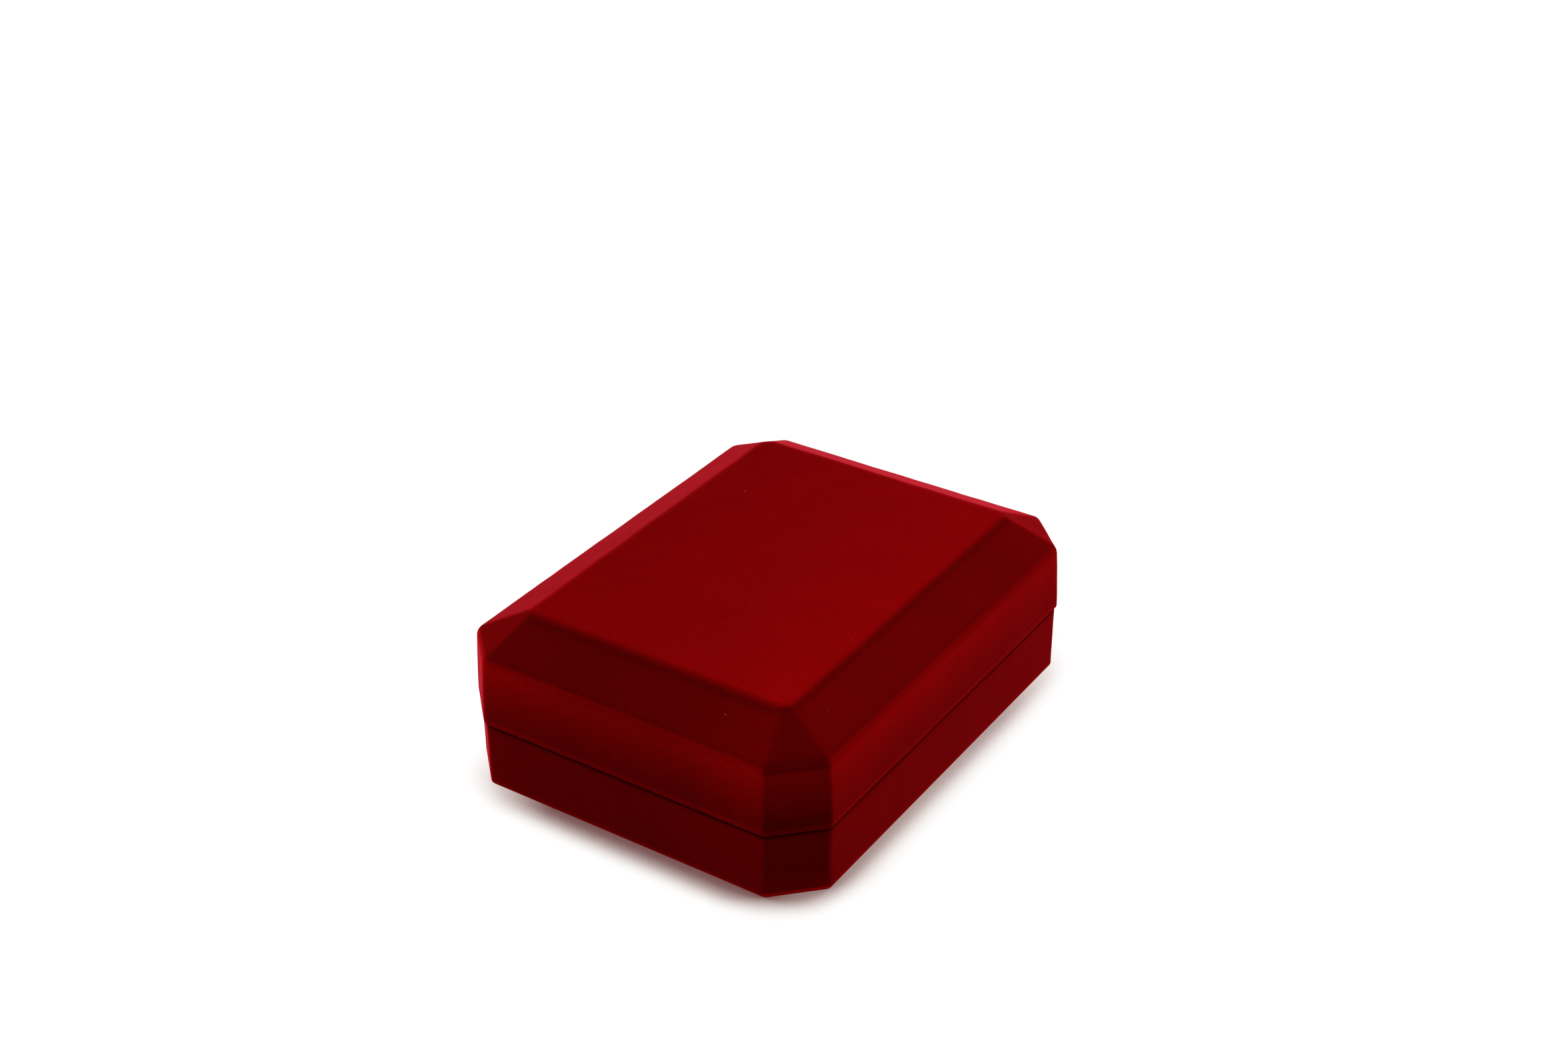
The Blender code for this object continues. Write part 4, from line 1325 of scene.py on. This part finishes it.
def floor_shade(graph, place, reach):
    """The soft shade on the table, from 0 to 1, darkest where the case's foot hides the most of the sky.

    It is weighted by place: deeper in front, fainter on the right, even behind and on the left.
    """
    across = graph.axes(place)
    along = across.other("Y")
    settings = {"samples": 12, "only_local": False}
    open_sky = graph.add("ShaderNodeAmbientOcclusion", settings, {"Distance": reach}, out="AO")
    deeper = 0.89 - graph.math("MINIMUM", along, -10 * MM) * 5.2
    rearward = graph.smooth_step(along, 50 * MM, 16 * MM) * deeper
    at_right = graph.smooth_step(across, 20 * MM, 34 * MM) * 0.24
    past_right = graph.smooth_step(across, 35.4 * MM, 39.4 * MM) * 0.36
    sideward = graph.smooth_step(across, -40 * MM, -8 * MM) - at_right - past_right
    behind = graph.smooth_step(along, 43 * MM, 46 * MM) * graph.smooth_step(across, 34 * MM, 27 * MM)
    left = graph.smooth_step(across, -33 * MM, -36 * MM) * graph.smooth_step(along, -22 * MM, -6 * MM)
    past_cut = graph.smooth_step(along - across, 70 * MM, 74 * MM)
    away = graph.math("MAXIMUM", graph.math("MAXIMUM", behind, left), past_cut) * 0.75
    lie = graph.math("MAXIMUM", rearward * sideward, away)
    shade = graph.limit((1 - graph.smooth_step(open_sky, 0.56, 0.91)) * lie)
    return shade * (1.03 - shade**3 * 0.1)


def build_floor(look):
    mesh = bpy.data.meshes.new("floor")
    mesh.from_pydata([(-3, -3, 0), (3, -3, 0), (3, 3, 0), (-3, 3, 0)], [], [(0, 1, 2, 3)])
    floor = link(bpy.data.objects.new("floor", mesh))
    material, graph, place = new_finish("white_table")
    shade = floor_shade(graph, place, look.shadow_reach)
    # The painted shade is tinted warm, its red standing for light thrown back from the red case.
    red = 1 - shade * (shade * 0.27 + 0.64)
    green = 1 - shade * (shade * 0.11 + 0.895)
    colours = graph.add("ShaderNodeCombineColor", None, {0: red, 1: green, 2: 1 - shade})
    glow = graph.add("ShaderNodeEmission", None, {"Color": colours, "Strength": 1.0})
    dim = graph.add("ShaderNodeBsdfDiffuse", None, {"Color": (0.05, 0.05, 0.05, 1)})
    bright = graph.add("ShaderNodeAddShader", None, {0: dim, 1: glow})
    plain = graph.add("ShaderNodeBsdfDiffuse", None, {"Color": (*look.floor, 1)})
    shader = graph.add("ShaderNodeMixShader", None, {0: seen_directly(graph), 1: plain, 2: bright})
    end_material(graph, shader)
    mesh.materials.append(material)


def build_lamps(look):
    """Square softboxes that look at the case."""
    for name, watts, side, place in (
        ("left_softbox", look.left, 0.5, (-0.7, 0, 0.4)),
        ("rear_softbox", look.rear, 0.5, (0, 0.7, 0.4)),
        ("close_softbox", look.close, 0.16, (0.12, 0.28, 0.22)),
    ):
        data = bpy.data.lights.new(name, "AREA")
        data.shape = "RECTANGLE"
        data.energy = watts
        data.size = data.size_y = side
        lamp = link(bpy.data.objects.new(name, data))
        lamp.location = place
        lamp.rotation_euler = (Vector((0, 0, 0.01)) - Vector(place)).to_track_quat("-Z", "Y").to_euler()


def build_surroundings(look):
    """A white room that lights the case with less than the brightness it shows."""
    world = bpy.data.worlds.new("white_room")
    bpy.context.scene.world = world
    world.use_nodes = True
    graph = Graph(world.node_tree)
    strength = seen_directly(graph) * (1 - look.fill) + look.fill
    background = graph.add("ShaderNodeBackground", None, {"Color": (1, 1, 1, 1), "Strength": strength})
    graph.add("ShaderNodeOutputWorld", None, {"Surface": background})


def build_camera(look):
    data = bpy.data.cameras.new("photo_camera")
    data.lens = look.lens
    data.sensor_width = 36.0
    data.clip_start, data.clip_end = 0.01, 20
    camera = link(bpy.data.objects.new("photo_camera", data))
    camera.location = CAMERA_PLACE
    camera.rotation_euler = Euler([angle * DEGREE for angle in CAMERA_TURN])
    bpy.context.scene.camera = camera


# Operators


class JEWELCASE_OT_shells(bpy.types.Operator):
    """Builds the flocked base shell and the flocked bevelled lid shell"""

    bl_idname = "jewelcase.shells"
    bl_label = "Flocked Shells"

    def execute(self, context):
        sizes, hinge, look = context.scene.case_shells, context.scene.case_hinge, context.scene.case_velvet
        plan, wave = shell_plan(sizes), sizes.waviness
        seats = {
            "base": (-1, sizes.seam_height - sizes.floor / 2),
            "lid": (1, hinge.reach + SEAT_GAP + SEAT_WALL),
        }
        for name, body, slot, node, rows, painted_light, pile_seed, steps, seed in (
            ("flocked_base", "base", "base_flock", "base_shell", base_rows(sizes), base_painted_light, 1.0, 64, 2.0),
            ("flocked_lid", "lid", "lid_flock", "lid_shell", lid_rows(sizes), lid_painted_light, 1.5, 72, 5.0),
        ):
            flock = velvet(slot, look, pile_seed, painted_light, sizes)
            shell = sweep(name, rows, plan, flock, waviness=wave, side_steps=steps, seed=seed)
            cut_hinge_seat(shell, sizes, hinge, *seats[body])
            finish_piece(shell, flock, 50 * DEGREE)
            settle(shell, body, node)
        return {"FINISHED"}


class JEWELCASE_OT_hinge(bpy.types.Operator):
    """Builds the two stamped leaves, the pin and the bowed snap spring"""

    bl_idname = "jewelcase.hinge"
    bl_label = "Snap Hinge"

    def execute(self, context):
        sizes, hinge = context.scene.case_shells, context.scene.case_hinge
        nickel = steel("stamped_nickel", (0.56, 0.53, 0.48), 0.3, 11.0)
        outer_start = hinge.width / 2 - hinge.outer_knuckle
        inner_end = outer_start - SEAT_GAP
        inner_start = inner_end - hinge.inner_knuckle
        past_end = hinge.width / 2 + OVERRUN
        lower_gaps = [(-outer_start, outer_start)]
        upper_gaps = [(-past_end, -inner_end), (-inner_start, inner_start), (inner_end, past_end)]
        for name, body, node, side, gaps in (
            ("lower_leaf", "base", "hinge_leaf_lower", -1, lower_gaps),
            ("upper_leaf", "lid", "hinge_leaf_upper", 1, upper_gaps),
        ):
            leaf = stamped_leaf(name, sizes, hinge, side, gaps)
            finish_piece(leaf, nickel, 35 * DEGREE)
            settle(leaf, body, node)
        pin = hinge_pin("pin", sizes, hinge)
        finish_piece(pin, steel("pin_steel", (0.6, 0.6, 0.6), 0.22, 5.0), 40 * DEGREE)
        settle(pin, "base", "hinge_pin")
        spring = snap_spring("bowed_spring", sizes, hinge)
        finish_piece(spring, steel("spring_steel", (0.46, 0.48, 0.52), 0.26, 23.0), 40 * DEGREE)
        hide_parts("snap_spring")
        middle, half = sizes.length / 2, hinge.spring_seat * 0.8
        start, end = (0, middle, sizes.seam_height - half), (0, middle, sizes.seam_height + half)
        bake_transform(spring)
        return {"FINISHED"}


class JEWELCASE_OT_pad(bpy.types.Operator):
    """Builds the base pad: sponge, card and velvet with its slits"""

    bl_idname = "jewelcase.pad"
    bl_label = "Slit Pad"

    def execute(self, context):
        build_pad(context.scene.case_shells, context.scene.case_cushions, context.scene.case_velvet)
        return {"FINISHED"}


class JEWELCASE_OT_cushion(bpy.types.Operator):
    """Builds the lid's cushion: card, sponge and gathered satin"""

    bl_idname = "jewelcase.cushion"
    bl_label = "Satin Cushion"

    def execute(self, context):
        build_lid_cushion(context.scene.case_shells, context.scene.case_cushions)
        return {"FINISHED"}


class JEWELCASE_OT_stage(bpy.types.Operator):
    """Builds the white floor, the soft lamps, the surroundings and the camera"""

    bl_idname = "jewelcase.stage"
    bl_label = "Stage"

    def execute(self, context):
        look = context.scene.case_stage
        build_floor(look)
        build_lamps(look)
        build_surroundings(look)
        build_camera(look)
        context.scene.view_settings.view_transform = "Standard"
        return {"FINISHED"}


OPERATORS = (
    JEWELCASE_OT_stage,
    JEWELCASE_OT_shells,
    JEWELCASE_OT_hinge,
    JEWELCASE_OT_pad,
    JEWELCASE_OT_cushion,
)
GROUPS = {
    "case_shells": ShellSizes,
    "case_cushions": CushionSizes,
    "case_hinge": HingeSizes,
    "case_velvet": VelvetLook,
    "case_stage": StageLook,
}


class JEWELCASE_PT_panel(bpy.types.Panel):
    """Lists the operators that build the case"""

    bl_idname = "JEWELCASE_PT_panel"
    bl_label = "Jewelry Case"
    bl_space_type = "VIEW_3D"
    bl_region_type = "UI"
    bl_category = "Jewelry Case"

    def draw(self, context):
        for operator in OPERATORS:
            self.layout.operator(operator.bl_idname)


def register():
    for name, group in GROUPS.items():
        bpy.utils.register_class(group)
        setattr(bpy.types.Scene, name, PointerProperty(type=group))
    for each in (*OPERATORS, JEWELCASE_PT_panel):
        bpy.utils.register_class(each)


def unregister():
    for each in (JEWELCASE_PT_panel, *reversed(OPERATORS)):
        bpy.utils.unregister_class(each)
    for name, group in GROUPS.items():
        delattr(bpy.types.Scene, name)
        bpy.utils.unregister_class(group)


def main():
    register()
    for operator in OPERATORS:
        group, name = operator.bl_idname.split(".")
        getattr(getattr(bpy.ops, group), name)()


if __name__ == "__main__":
    main()
